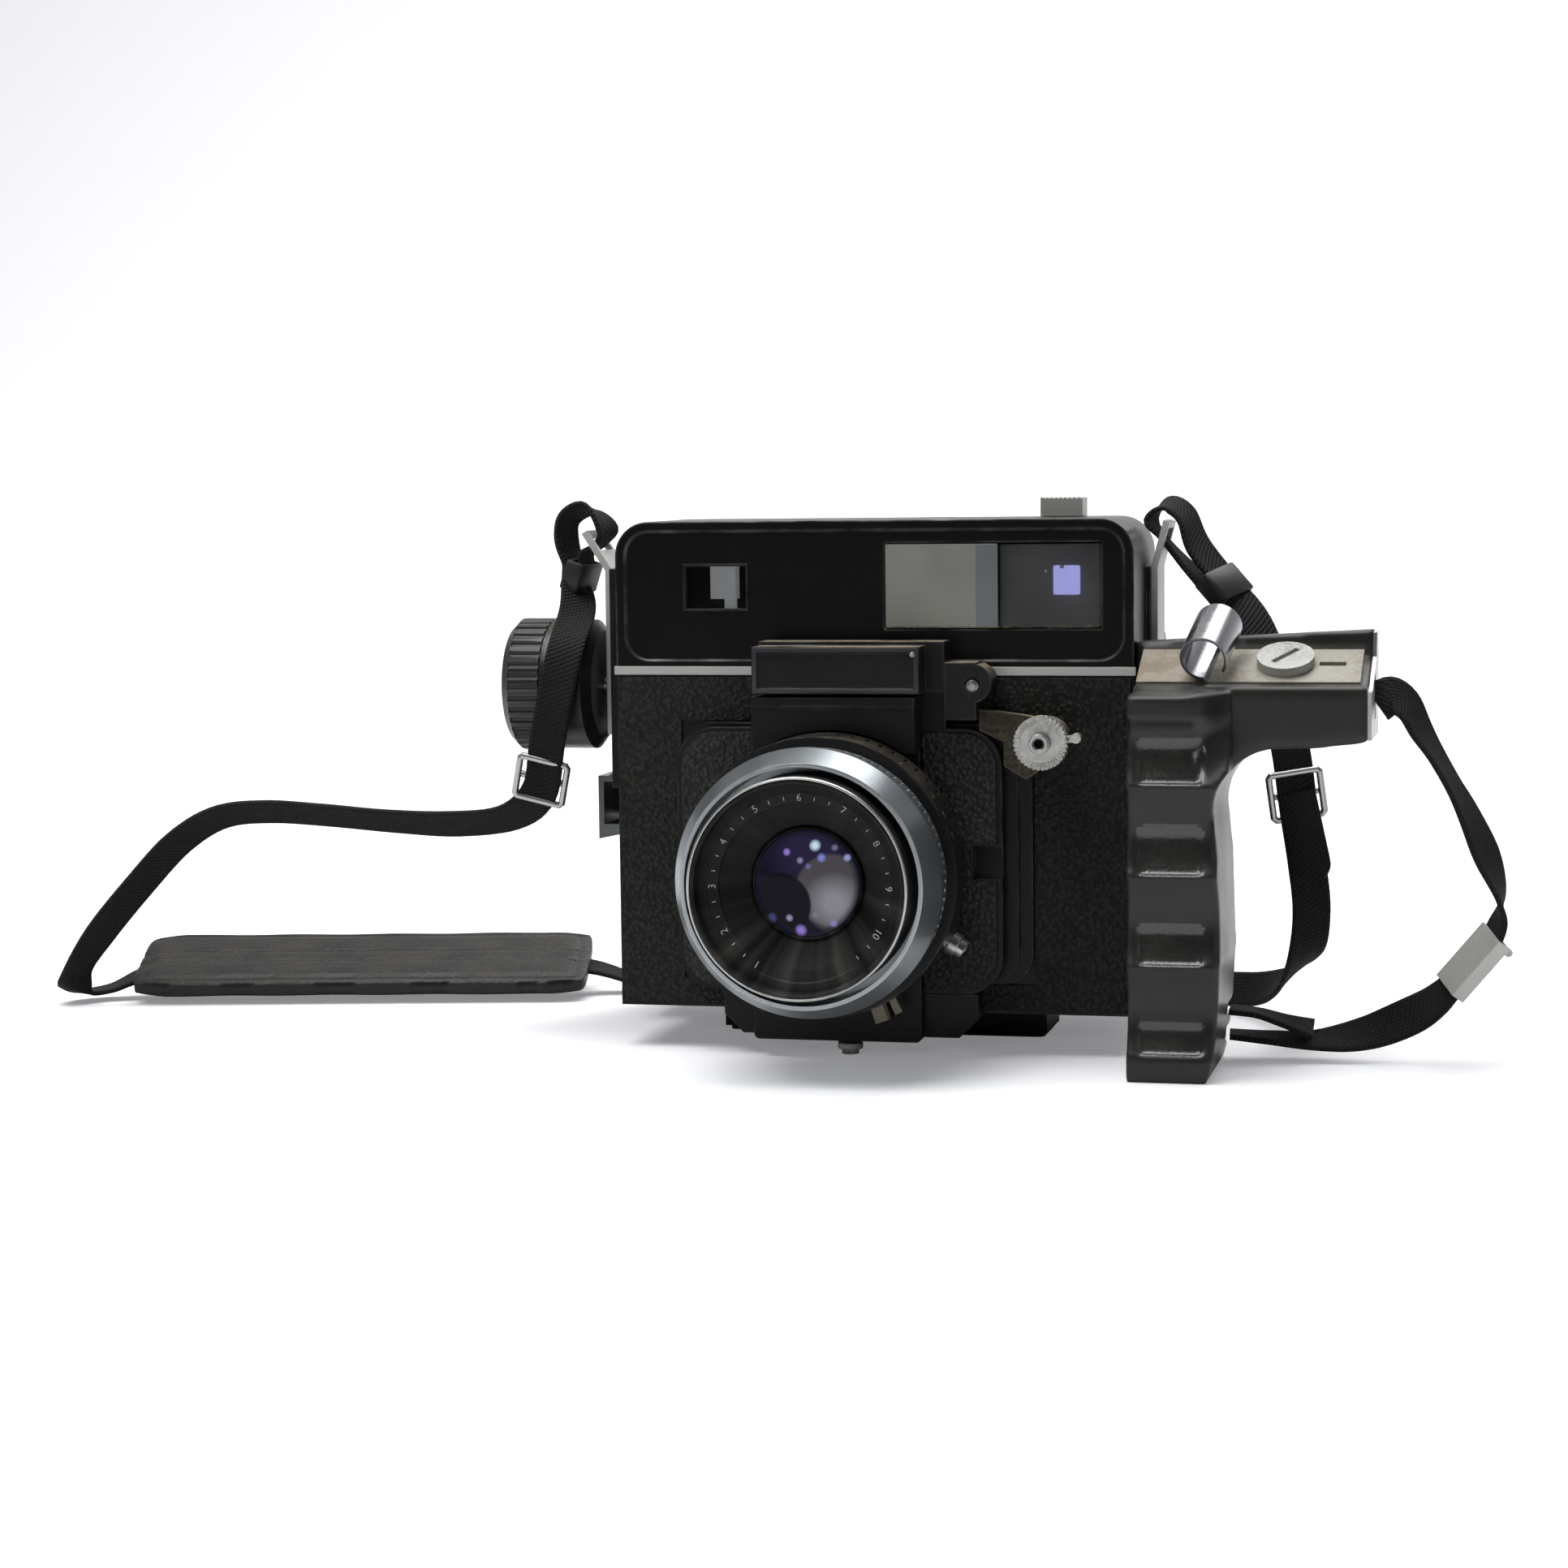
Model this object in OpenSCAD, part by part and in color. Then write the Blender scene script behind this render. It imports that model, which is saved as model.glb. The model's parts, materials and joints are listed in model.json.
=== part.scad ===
// Medium format rangefinder camera for 6 x 7 cm frames on 120 film, with a left-hand grip.
// Frame: +Z up, the lens looks along -Y, +X is to the viewer's right. The origin is the mouth of
// the tripod socket in the base foot, so Z = 0 is the surface that the camera stands on.

/* [Body] */
// Width of the body casting and the top housing
body_w = 137; // [134:1:150]
// Height of the body casting, from its floor to the trim line
casting_h = 89.5; // [88:0.5:96]
// Depth of the body casting and the top housing, front to back
body_d = 43; // [41:1:50]
// Height of the top housing above the trim line
top_h = 38.5; // [36:0.5:44]
// Corner radius of the top housing
top_r = 9; // [4:0.5:12]
// Wall of the body casting
wall = 3; // [2.5:0.1:4]
// Wall of the top housing
top_wall = 2; // [1.5:0.1:2.5]
// Distance from the lens axis to the left side of the body
left_reach = 61; // [60:0.5:66]
// Height of the lens axis above the floor of the casting
axis_rise = 38.6; // [38:0.1:41]
// Thickness of the pebbled covering
skin_t = 0.8; // [0.4:0.1:1.2]
// Height of the chrome trim strip
trim_h = 2.2; // [1.5:0.1:3]

/* [Foot] */
// Height of the foot, which is the gap under the body
foot_h = 11; // [9:0.5:13]
// Length of the foot along the body
foot_w = 88.6; // [80:0.2:94]
// Depth of the foot
foot_d = 22; // [20:1:28]
// Distance from the body's front face back to the tripod socket
socket_setback = 37; // [35:0.5:40]
// Thread diameter of the tripod socket
socket_d = 6.35; // [6.35, 9.525]

/* [Windows] */
// Width of the small rangefinder window
rf_window_w = 16.2; // [12:0.2:18]
// Height of the small rangefinder window
rf_window_h = 11; // [8:0.2:13]
// Width of the long window
main_window_w = 55.8; // [50:0.2:58]
// Height of the long window
main_window_h = 21.6; // [16:0.2:24]
// Share of the long window that is frosted, measured along it
frosted_w = 29.2; // [20:0.2:34]
// Thickness of the window glasses
pane_t = 1; // [0.8:0.1:1.6]

/* [Lens standard] */
// Width of the moving lens standard
panel_w = 86; // [82:0.5:88]
// Height of the moving lens standard
panel_h = 68.6; // [67:0.2:70]
// Gap between the body face and the front of the standard's panel
panel_reach = 7.4; // [7:0.1:9]
// Travel of the standard from far to near focus
focus_travel = 9; // [6:0.5:9]
// Pitch radius of the focusing pinion
pinion_r = 2.55; // [2.2:0.05:3]

/* [Lens] */
// Diameter of the front ring's filter thread
filter_d = 52; // [50:0.5:53]
// Outer diameter of the front ring
front_ring_d = 55.7; // [55:0.1:57]
// Outer diameter of the shutter speed ring's blue-gray bevel
speed_ring_d = 68; // [67:0.5:70]
// Outer diameter of the aperture ring
aperture_ring_d = 71.6; // [70:0.2:73]
// Reach of the lens's front rim from the body face
lens_reach = 56.8; // [56:0.2:60]
// Clear diameter of the front glass
front_glass_d = 26.8; // [24:0.2:30]
// Width of the lens's mounting plate
lens_plate_w = 44.4; // [42:0.2:46]

/* [Controls] */
// Diameter of the focusing knob
knob_d = 36; // [30:0.5:38]
// Length of the focusing knob
knob_l = 25; // [22:0.5:28]
// Number of flutes round the knob
knob_flutes = 36; // [24:1:48]
// Diameter of the release's knurled lock ring
release_d = 13.8; // [12:0.2:15]
// Travel of the shutter release
release_travel = 2.5; // [1.5:0.1:3]
// Travel of the lens lock pin
lock_travel = 2; // [1:0.1:2.5]
// Travel of the film advance handle
advance_travel = 45; // [40:1:48]

/* [Film back] */
// Depth of the film back
back_d = 32.2; // [32.2:0.2:38]
// Height of the film back
back_h = 98; // [94:0.5:99]
// Width of the film back
back_w = 147; // [145:0.5:149]
// Diameter of the film spool's flanges
spool_d = 24.6; // [24:0.1:25]
// Length of the film spool
spool_l = 64.8; // [63:0.1:65.5]
// Width of the picture gate
gate_w = 69; // [60:0.5:70]
// Height of the picture gate
gate_h = 56; // [54:0.5:57]

/* [Grip] */
// Width of the upright part of the grip
grip_w = 21; // [19:0.5:23]
// Reach of the grip's front in front of the body face
grip_reach = 34; // [30:0.5:38]
// Pitch of the finger scallops
finger_pitch = 22.4; // [20:0.1:23]
// Depth of each finger scallop
finger_dip = 3.6; // [2:0.1:5]
// Reach of the arm beyond the body's side
arm_reach = 60; // [56:0.5:66]
// Height of the arm's front rim above the table
arm_z = 97.5; // [96:0.5:99]
// Thickness of the arm's front, top to bottom
arm_t = 15.5; // [13:0.5:17]
// Slope of the accessory plate on the arm
plate_tilt = 25; // [20:1:30]
// Bore of the accessory spring clip
clip_bore = 10.4; // [8:0.2:12]
// Diameter of the coin-slot screw
coin_d = 14.4; // [12:0.2:16]

/* [Straps] */
// Width of the webbing
web_w = 10; // [8:0.5:12]
// Thickness of the webbing
web_t = 1.5; // [1:0.1:1.8]
// Width of the shoulder pad
pad_w = 36; // [30:1:40]
// Thickness of the shoulder pad
pad_t = 6; // [4:0.5:8]

/* [Hidden] */
$fn = 96;
gap = 0.3;
run_fit = 0.05;

// Planes of the body
front_y = -socket_setback;
back_y = front_y + body_d;
left_x = -left_reach;
right_x = left_x + body_w;
floor_z = foot_h;
trim_z = floor_z + casting_h;
top_z = trim_z + top_h;
axis_z = floor_z + axis_rise;

// Lens standard
panel_front = front_y - panel_reach;
panel_t = 4;
panel_back = panel_front + panel_t;
surround_t = panel_reach - panel_t - 0.6;
panel_r = 10;
panel_z0 = axis_z - 32.6;
panel_z1 = panel_z0 + panel_h;
slide_w = panel_w - 13;
slide_h = 60;
slide_wall = 2;
slide_back = front_y + 23;
slide_z0 = axis_z - slide_h / 2;
throat_r = 21;

// Focus shaft and knob
shaft_z = trim_z - 6;
shaft_y = front_y + 30;
shaft_r = 1.8;
knob_x0 = left_x - 36.6;
knob_x1 = knob_x0 + knob_l;
gear_case_w = 8.5;
gear_case_x = left_x - gear_case_w;
rack_x0 = -20;
rack_w = 8;

// Lens stack, measured as reach from the body face
plate_reach = 11;
block_reach = 17;
shutter_r = 33;
speed_rim_r = 30.75;
speed_rim_reach = lens_reach - 5.1;
bevel_reach = speed_rim_reach - 7.6;
knurl_r = speed_ring_d / 2 - 0.8;
knurl_reach = bevel_reach - 11;
aperture_reach0 = block_reach + 1.5;
aperture_reach1 = knurl_reach - gap;
core_r = 24;
glass_r = front_glass_d / 2;
glass_reach = lens_reach - 13;

// Release
release_x = panel_w / 2 + 11.4;
release_z = 82.8;
release_reach = 17;
button_r = 2.6;

// Film back
fb_front = back_y + gap;
fb_back = fb_front + back_d;
fb_left = left_x - 11;
fb_right = fb_left + back_w;
fb_z0 = axis_z - spool_l / 2 - 6.2;
fb_z1 = floor_z + back_h;
fb_wall = 2.4;
spool_x = 47;
spool_y = fb_front + fb_wall + 0.4 + spool_d / 2;
spool_z0 = axis_z - spool_l / 2;
film_y = fb_front + fb_wall + 0.2;
bar_y = spool_y + spool_d / 2 + 0.5;
bar_t = 1.6;
handle_z = axis_z + 10;
handle_h = 18.4;

// Grip
grip_x0 = right_x + 2;
grip_x1 = grip_x0 + grip_w;
grip_front = front_y - grip_reach;
grip_back = front_y + 9;
arm_front = front_y - 20;
arm_x1 = right_x + arm_reach;
arm_wall_t = 7;
ledge_y = arm_front + 4.5;
ledge_z = arm_z + 0.8;
plate_deep = 17.4;
plate_t = 1.6;
plate_back_z = ledge_z + (grip_back - arm_wall_t - ledge_y) * tan(plate_tilt);
clip_x = grip_x0 + 18.7;
clip_y = 8.9;
clip_turn = -6.5;
clip_foot = 0.6;
coin_x = grip_x0 + 37;
coin_y = plate_deep / 2 + 1;
first_ridge = 6.4;

// Lugs
lug_y = front_y + 33;
lug_w = 15;
lug_t = 1.7;

// Windows, eyepiece and latch on the top housing
rf_x = [left_x + 19, left_x + 19 + rf_window_w];
rf_z = [trim_z + 15.7, trim_z + 15.7 + rf_window_h];
main_x = [right_x - 64.5, right_x - 64.5 + main_window_w];
main_z = [trim_z + 10.6, trim_z + 10.6 + main_window_h];
eye_x = main_x[1] - 13.3;
eye_z = trim_z + 21.4;
latch_x = right_x - 23.4;
latch_y = front_y + 37;

// Front pieces
surround_x = [-panel_w / 2, panel_w / 2 + 7];
surround_z = [panel_z0 + 2, panel_z1 + 1];
arm_pivot_x = rf_x[0] + 12;
arm_pivot_y = front_y + 14;
hood_x = [-20, 23.6];
hood_top = trim_z + 6.6;
hood_z0 = trim_z - 5.4;
pinion_teeth = 12;
bellows_pleats = 5;
foot_x = 4.3;
lock_x = 2;
lock_y = front_y - 4.2;
lock_reach = 7.2;
lock_r = 2.2;
leaf_t = 0.35;
leaf_step = 0.5;
leaf_pin_r = 18.4;
leaves = 5;
counter_x = fb_right - 14;
counter_z = fb_z1 - 12;
carrier_y = film_y + 7;
hand_r = 15;
hand_y = -42.5;
clip_l = 18.6;
clip_wall = 0.8;
pad_l = 132;
pad_tilt = 16;
clasp_l = 18;
clasp_pin_y = 2.45;
clasp_pin_z = -clasp_l / 2 + 1;

// Shapes that repeat
module box(x, y, z)
    translate([x[0], y[0], z[0]]) cube([x[1] - x[0], y[1] - y[0], z[1] - z[0]]);

module rounded(x, z, r)
    translate([(x[0] + x[1]) / 2, (z[0] + z[1]) / 2]) {
        w = x[1] - x[0];
        h = z[1] - z[0];
        square([w - 2 * r, h], center = true);
        square([w, h - 2 * r], center = true);
        for (i = [-1, 1], j = [-1, 1])
            translate([i * (w / 2 - r), j * (h / 2 - r)]) circle(r);
    }

module along_y(y) translate([0, y[1], 0]) rotate([90, 0, 0]) linear_extrude(y[1] - y[0]) children();

module along_x(x) translate([x[0], 0, 0]) rotate([90, 0, 90]) linear_extrude(x[1] - x[0]) children();

module on_axis() translate([0, 0, axis_z]) children();

module disc_y(r, y) translate([0, y[1], 0]) rotate([90, 0, 0]) cylinder(r = r, h = y[1] - y[0]);

module ring_y(r_out, r_in, y)
    difference() {
        disc_y(r_out, y);
        disc_y(r_in, [y[0] - 1, y[1] + 1]);
    }

// A turned part about Y: points are [radius, reach in front of the body face]
module turned(points)
    translate([0, front_y, 0]) rotate([90, 0, 0]) rotate_extrude() polygon(points);

// Ribs round a ring, cut as shallow flutes
module flutes_y(r, y, count, depth)
    for (i = [0:count - 1])
        rotate([0, i * 360 / count, 0]) translate([r, 0, 0]) rotate([0, 45, 0])
            translate([-depth, y[0], -depth]) cube([2 * depth, y[1] - y[0], 2 * depth]);

// Body outline seen from the front
module front_outline(inset = 0, z0 = 0, z1 = 0)
    difference() {
        rounded([left_x + inset, right_x - inset], [z0 - 3 * top_r, z1], top_r - inset);
        translate([left_x - 1, z0 - 4 * top_r]) square([body_w + 2, 4 * top_r]);
    }

module body_casting() color([0.06, 0.06, 0.065])
    difference() {
        union() {
            box([left_x, right_x], [front_y, back_y], [floor_z, trim_z]);
            // pivot of the rangefinder arm
            translate([arm_pivot_x, arm_pivot_y, trim_z - 1]) cylinder(r = 1.5, h = 11.5);
        }
        // light chamber, open towards the lens and the film
        box([-slide_w / 2 - 4.5, slide_w / 2 + 4.5], [front_y + wall, back_y - wall],
            [slide_z0 - 4, trim_z - wall]);
        box([-slide_w / 2 - gap, slide_w / 2 + gap], [front_y - 1, front_y + wall + 1],
            [slide_z0 - gap, slide_z0 + slide_h + gap]);
        box([-gate_w / 2, gate_w / 2], [back_y - wall - 1, back_y + 1],
            [axis_z - gate_h / 2, axis_z + gate_h / 2]);
        // hollows beside the chamber
        for (x = [[left_x + wall, -slide_w / 2 - 4.5 - wall], [slide_w / 2 + 4.5 + wall, right_x - wall]])
            box(x, [front_y + wall, back_y + 1], [floor_z + wall, trim_z - wall]);
        // bore of the focusing shaft
        translate([left_x - 1, shaft_y, shaft_z]) rotate([0, 90, 0])
            cylinder(r = shaft_r + run_fit, h = wall + 24);
    }

module top_housing() color([0.05, 0.05, 0.055])
    difference() {
        union() {
            along_y([front_y, back_y]) front_outline(0, trim_z, top_z);
            // seat of the right strap lug
            box([right_x - 1, right_x + 1.2], [lug_y - lug_w / 2 - 1.5, back_y], [trim_z + 3, top_z - 13]);
        }
        along_y([front_y + top_wall + 1.4, back_y - top_wall])
            front_outline(top_wall, trim_z - 1, top_z - top_wall);
        along_y([front_y - 1, front_y + 0.6])
            rounded([left_x + 2.6, right_x - 2.6], [trim_z + 2.2, top_z - 2.6], top_r - 2.6);
        box(rf_x, [front_y - 1, front_y + 5], rf_z);
        box([main_x[0] - gap, main_x[1] + gap], [front_y - 1, front_y + 5],
            [main_z[0] - gap, main_z[1] + gap]);
        translate([eye_x, back_y, eye_z]) disc_y(6 + run_fit, [-top_wall - 1, 1]);
        box([latch_x - 2.2, latch_x + 6.2], [latch_y - 1.7, latch_y + 1.7],
            [top_z - top_wall - 1, top_z + 1]);
    }

module trim_strip() color([0.78, 0.78, 0.76])
    difference() {
        box([left_x - 0.5, right_x + 0.5], [front_y - 0.5, back_y - 4],
            [trim_z - trim_h + 0.6, trim_z + 0.6]);
        box([left_x, right_x], [front_y, back_y], [trim_z - trim_h, trim_z + trim_h]);
        // notches where the gear case and the grip seat against the body
        box([left_x - 2, left_x + 1], [lug_y - lug_w / 2 - 2.3, back_y], [trim_z - 5, trim_z + 5]);
        box([right_x - 1, right_x + 2], [front_y - 0.2, back_y], [trim_z - 5, trim_z + 5]);
    }

module front_covering() color([0.09, 0.09, 0.09])
    difference() {
        box([left_x + 0.6, right_x - 0.6], [front_y - skin_t, front_y], [floor_z + 1, trim_z - trim_h]);
        box([surround_x[0] - gap, surround_x[1] + gap], [front_y - 2, front_y + 1],
            [surround_z[0] - gap, surround_z[1] + gap]);
    }

module standard_surround() color([0.07, 0.07, 0.07])
    difference() {
        union() {
            along_y([front_y - surround_t, front_y])
                rounded([surround_x[0], surround_x[1] - 3.5], surround_z, 8);
            along_y([front_y - 1.6, front_y]) rounded(surround_x, surround_z, 8);
        }
        box([-slide_w / 2 - gap, slide_w / 2 + gap], [front_y - surround_t - 1, front_y + 1],
            [slide_z0 - gap, slide_z0 + slide_h + gap]);
    }

module base_foot() color([0.07, 0.07, 0.07])
    difference() {
        union() {
            box([foot_x - foot_w / 2, foot_x + foot_w / 2], [-8, back_y], [1.2, floor_z]);
            box([foot_x - foot_w / 2, foot_x + foot_w / 2], [-8, foot_d - 8], [1.2, min(fb_z0, floor_z)]);
            translate([foot_x, foot_d / 2 - 8, 0]) linear_extrude(1.2)
                rounded([-foot_w / 2 + 1, foot_w / 2 - 1], [-foot_d / 2 + 1, foot_d / 2 - 1], 2);
        }
        translate([0, 0, -1]) cylinder(r = socket_d / 2 + 2.4, h = floor_z - 1);
    }

module tripod_bush() color([0.72, 0.6, 0.36])
    difference() {
        cylinder(r = socket_d / 2 + 2.4, h = floor_z - 2);
        translate([0, 0, -1]) cylinder(r = socket_d / 2, h = floor_z - 2.5);
    }

module rangefinder_window() color([0.2, 0.22, 0.24])
    box([rf_x[0] + 0.1, rf_x[1] - 0.1], [front_y + 2.2, front_y + 2.2 + pane_t],
        [rf_z[0] + 0.1, rf_z[1] - 0.1]);

module frosted_window() color([0.55, 0.56, 0.56])
    box([main_x[0], main_x[0] + frosted_w], [front_y + 0.4, front_y + 0.4 + pane_t], main_z);

module viewfinder_window() color([0.12, 0.12, 0.16])
    box([main_x[0] + frosted_w, main_x[1]], [front_y + 0.4, front_y + 0.4 + pane_t], main_z);

module beam_splitter() color([0.6, 0.55, 0.8])
    translate([main_x[1] - 8.8, front_y + 14, trim_z]) difference() {
        union() {
            rotate([0, 0, 45]) translate([-7, -0.6, 13.5]) cube([14, 1.2, 16]);
            translate([-6, -6, 0]) cube([12, 12, 13.5]);
        }
        translate([-4.5, -4.5, 1.5]) cube([9, 12, 10.5]);
    }

module eyepiece() color([0.08, 0.08, 0.08])
    translate([eye_x, back_y, eye_z])
        difference() {
            union() {
                disc_y(6, [-8, 0.5]);
                disc_y(9, [0, 4]);
            }
            disc_y(4.6, [-9, 5]);
        }

module eyepiece_glass() color([0.5, 0.55, 0.6])
    translate([eye_x, back_y, eye_z]) disc_y(4.6 - 0.02, [0.8, 2]);

module top_latch() color([0.8, 0.8, 0.78])
    union() {
        difference() {
            box([latch_x - 5.6, latch_x + 5.6], [latch_y - 4.5, latch_y + 4.5], [top_z + 0.1, top_z + 5.1]);
            for (i = [-4:4])
                translate([latch_x + i * 1.2, latch_y - 5, top_z + 5.1]) rotate([0, 45, 0])
                    cube([0.6, 10, 0.6]);
        }
        box([latch_x - 1.8, latch_x + 1.8], [latch_y - 1.5, latch_y + 1.5],
            [top_z - top_wall - 0.3, top_z + 0.2]);
        box([latch_x - 3.4, latch_x + 3.4], [latch_y - 3, latch_y + 3],
            [top_z - top_wall - 1.5, top_z - top_wall - 0.3]);
    }

// Rangefinder mirror on its pivoting arm
module rangefinder_arm() color([0.7, 0.7, 0.68])
    translate([arm_pivot_x, arm_pivot_y, trim_z + 0.1])
        difference() {
            union() {
                cylinder(r = 3, h = 12);
                translate([-1.5, 0, 0.5]) cube([3, 17, 2]);
                translate([-4.4, -1.8, 11]) cube([3, 1.8, 8]);
                translate([-7.65, -4, 17.8]) cube([6.9, 4, 9.2]);
            }
            translate([0, 0, -1]) cylinder(r = 1.5 + run_fit, h = 12);
        }

// Case of the focusing gear on the left side, with its shaft bore
module gear_case() color([0.06, 0.06, 0.06])
    difference() {
        box([gear_case_x, left_x], [lug_y - lug_w / 2 - 2, back_y], [trim_z - 34, top_z - 13]);
        translate([gear_case_x - 1, shaft_y, shaft_z]) rotate([0, 90, 0])
            cylinder(r = shaft_r + run_fit, h = gear_case_w + 2);
    }

// Strap lug: a steel strip with its slotted top bent outwards. Built for one side and mirrored.
module lug(strip_h, bend, slot_h)
    translate([0, -lug_w / 2, 0]) difference() {
        union() {
            translate([0, 0, -strip_h]) cube([lug_t, lug_w, strip_h + 0.25]);
            rotate([0, bend, 0]) cube([lug_t, lug_w, 12.4]);
        }
        rotate([0, bend, 0]) translate([-1, (lug_w - web_w) / 2 - 0.8, 6]) cube([4, web_w + 1.6, slot_h]);
    }

module strap_lug_left() color([0.75, 0.75, 0.73])
    difference() {
        translate([gear_case_x, lug_y, top_z - 13]) mirror([1, 0, 0]) lug(45, 33, 4.6);
        translate([gear_case_x - 4, shaft_y, shaft_z]) rotate([0, 90, 0]) cylinder(r = shaft_r + 1.2, h = 6);
    }

module strap_lug_right() color([0.75, 0.75, 0.73])
    translate([right_x + 1.2, lug_y, top_z - 13]) lug(22, 15, 4.6);

// Focusing knob, fluted, with its inner collar
module focus_knob() color([0.05, 0.05, 0.05])
    translate([0, shaft_y, shaft_z]) rotate([0, 90, 0]) difference() {
        union() {
            translate([0, 0, knob_x0]) cylinder(r1 = knob_d / 2 - 2.2, r2 = knob_d / 2, h = 2.2);
            translate([0, 0, knob_x0 + 2.2]) cylinder(r = knob_d / 2, h = 8.5);
            translate([0, 0, knob_x0 + 10.7]) cylinder(r = knob_d / 2 - 1, h = 1.5);
            translate([0, 0, knob_x0 + 12.2]) cylinder(r = knob_d / 2 - 0.4, h = knob_l - 14.7);
            translate([0, 0, knob_x1 - 2.5]) cylinder(r1 = knob_d / 2 - 0.4, r2 = knob_d / 2 - 3.5, h = 2.3);
        }
        for (i = [0:knob_flutes - 1])
            rotate([0, 0, i * 360 / knob_flutes]) translate([knob_d / 2 + 0.25, 0, knob_x0 + 2.2])
                cylinder(r = 0.9, h = 9.5, $fn = 16);
        translate([0, 0, knob_x0 + 2.2]) cylinder(r = shaft_r, h = knob_l);
    }

// Shaft of the focusing knob, with the pinion that drives the rack
module focus_shaft() color([0.7, 0.7, 0.7])
    translate([0, shaft_y, shaft_z]) rotate([0, 90, 0]) union() {
        translate([0, 0, knob_x0 + 2.2]) cylinder(r = shaft_r, h = rack_x0 + rack_w + 2 - knob_x0 - 2.2);
        translate([0, 0, rack_x0 - 1]) linear_extrude(rack_w + 2) pinion_outline();
    }

module pinion_outline()
    polygon([for (i = [0:4 * pinion_teeth - 1])
        let (r = (i % 4 < 2) ? pinion_r - 0.05 : pinion_r - 0.5, a = i * 90 / pinion_teeth)
        [r * cos(a), r * sin(a)]]);

module focus_rack() color([0.72, 0.6, 0.36])
    difference() {
        union() {
            box([rack_x0, rack_x0 + rack_w], [slide_back - 10, slide_back - 1],
                [slide_z0 + slide_h, slide_z0 + slide_h + 4]);
            box([rack_x0, rack_x0 + rack_w], [slide_back - 10, shaft_y + focus_travel + 0.7],
                [slide_z0 + slide_h + 3, shaft_z - pinion_r - 0.1]);
        }
        for (y = [shaft_y - 1.6:2 * PI * pinion_r / pinion_teeth:shaft_y + focus_travel])
            box([rack_x0 - 1, rack_x0 + rack_w + 1], [y, y + 0.6], [shaft_z - pinion_r - 0.6, shaft_z]);
    }

// The moving standard: front panel and the box that slides in the body
module lens_standard() color([0.06, 0.06, 0.06])
    difference() {
        union() {
            along_y([panel_front, panel_back])
                rounded([-panel_w / 2, panel_w / 2], [panel_z0, panel_z1], panel_r);
            box([-slide_w / 2, slide_w / 2], [panel_back - 1, slide_back], [slide_z0, slide_z0 + slide_h]);
            // neck that carries the hood
            box([hood_x[0] + 0.6, hood_x[1] + 4.9], [panel_front, panel_back], [panel_z1 - 1, hood_z0]);
        }
        box([-slide_w / 2 + slide_wall, slide_w / 2 - slide_wall], [panel_back, slide_back + 1],
            [slide_z0 + slide_wall, slide_z0 + slide_h - slide_wall]);
        on_axis() disc_y(throat_r, [panel_front - 1, panel_back + 1]);
        // latch window in the right side of the panel
        box([panel_w / 2 - 7.5, panel_w / 2 + 1], [panel_front - 1, panel_front + 1.6],
            [axis_z - 2.6, axis_z + 5.8]);
    }

module standard_covering() color([0.1, 0.1, 0.1])
    along_y([panel_front - skin_t, panel_front]) difference() {
        rounded([-panel_w / 2 + 1.5, panel_w / 2 - 1.5], [panel_z0 + 1, panel_z1 - 1], panel_r - 1);
        translate([-lens_plate_w / 2 - gap, panel_z0 - 1]) square([lens_plate_w + 2 * gap, panel_h + 2]);
        translate([panel_w / 2 - 7.8, axis_z - 2.9]) square([9, 9]);
    }

// Pleated bellows between the sliding box and the picture gate
module bellows_outline(w, h, y, depth)
    let (step = (y[1] - y[0]) / (2 * bellows_pleats))
    polyhedron(
        points = [for (i = [0:2 * bellows_pleats])
            let (d = (i % 2) * depth, a = w / 2 - 3 + d, b = h / 2 - 3 + d, yy = y[0] + i * step)
            each [[-a, yy, axis_z - b], [a, yy, axis_z - b], [a, yy, axis_z + b], [-a, yy, axis_z + b]]],
        faces = concat(
            [[3, 2, 1, 0]],
            [[8 * bellows_pleats, 8 * bellows_pleats + 1, 8 * bellows_pleats + 2, 8 * bellows_pleats + 3]],
            [for (i = [0:2 * bellows_pleats - 1], k = [0:3]) let (a = 4 * i + k, b = 4 * i + (k + 1) % 4)
                each [[b + 4, a + 4, a], [b, b + 4, a]]]));

module bellows() color([0.03, 0.03, 0.03])
    difference() {
        bellows_outline(slide_w + 4, slide_h + 4, [slide_back + 0.1, back_y - wall - 0.1], 2);
        box([-slide_w / 2 + 2.2, slide_w / 2 - 2.2], [slide_back - 1, back_y],
            [axis_z - slide_h / 2 + 2.2, axis_z + slide_h / 2 - 2.2]);
    }

// Hood over the lens mount, with its bare front plate
module nameplate_hood() color([0.06, 0.06, 0.06])
    difference() {
        union() {
            box(hood_x, [front_y - block_reach - 1, front_y - 9.5], [hood_z0, hood_top]);
            box([hood_x[0], hood_x[1] + 5], [front_y - 9.5, front_y - skin_t - gap], [hood_z0, hood_top + 1]);
        }
        along_y([front_y - block_reach - 2, front_y - block_reach - 0.4])
            rounded([hood_x[0] + 1.4, hood_x[1] - 1.4], [hood_z0 + 1.4, hood_top - 1.4], 0.8);
        box([hood_x[0] + 3, hood_x[1] - 3], [front_y - 14, front_y - 3], [hood_z0 - 1, hood_top - 3]);
    }

// Housing of the release linkage beside the hood
module linkage_housing() color([0.07, 0.07, 0.07])
    difference() {
        union() {
            box([hood_x[1] + 5.1, 37], [front_y - 11, front_y - skin_t - gap], [hood_z0 - 7, hood_top - 4.3]);
            translate([36, 0, hood_top - 9.6]) disc_y(5, [front_y - 11, front_y - skin_t - gap]);
        }
        translate([36, front_y - 11, hood_top - 9.6]) disc_y(2, [-1, 1.2]);
    }

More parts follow.
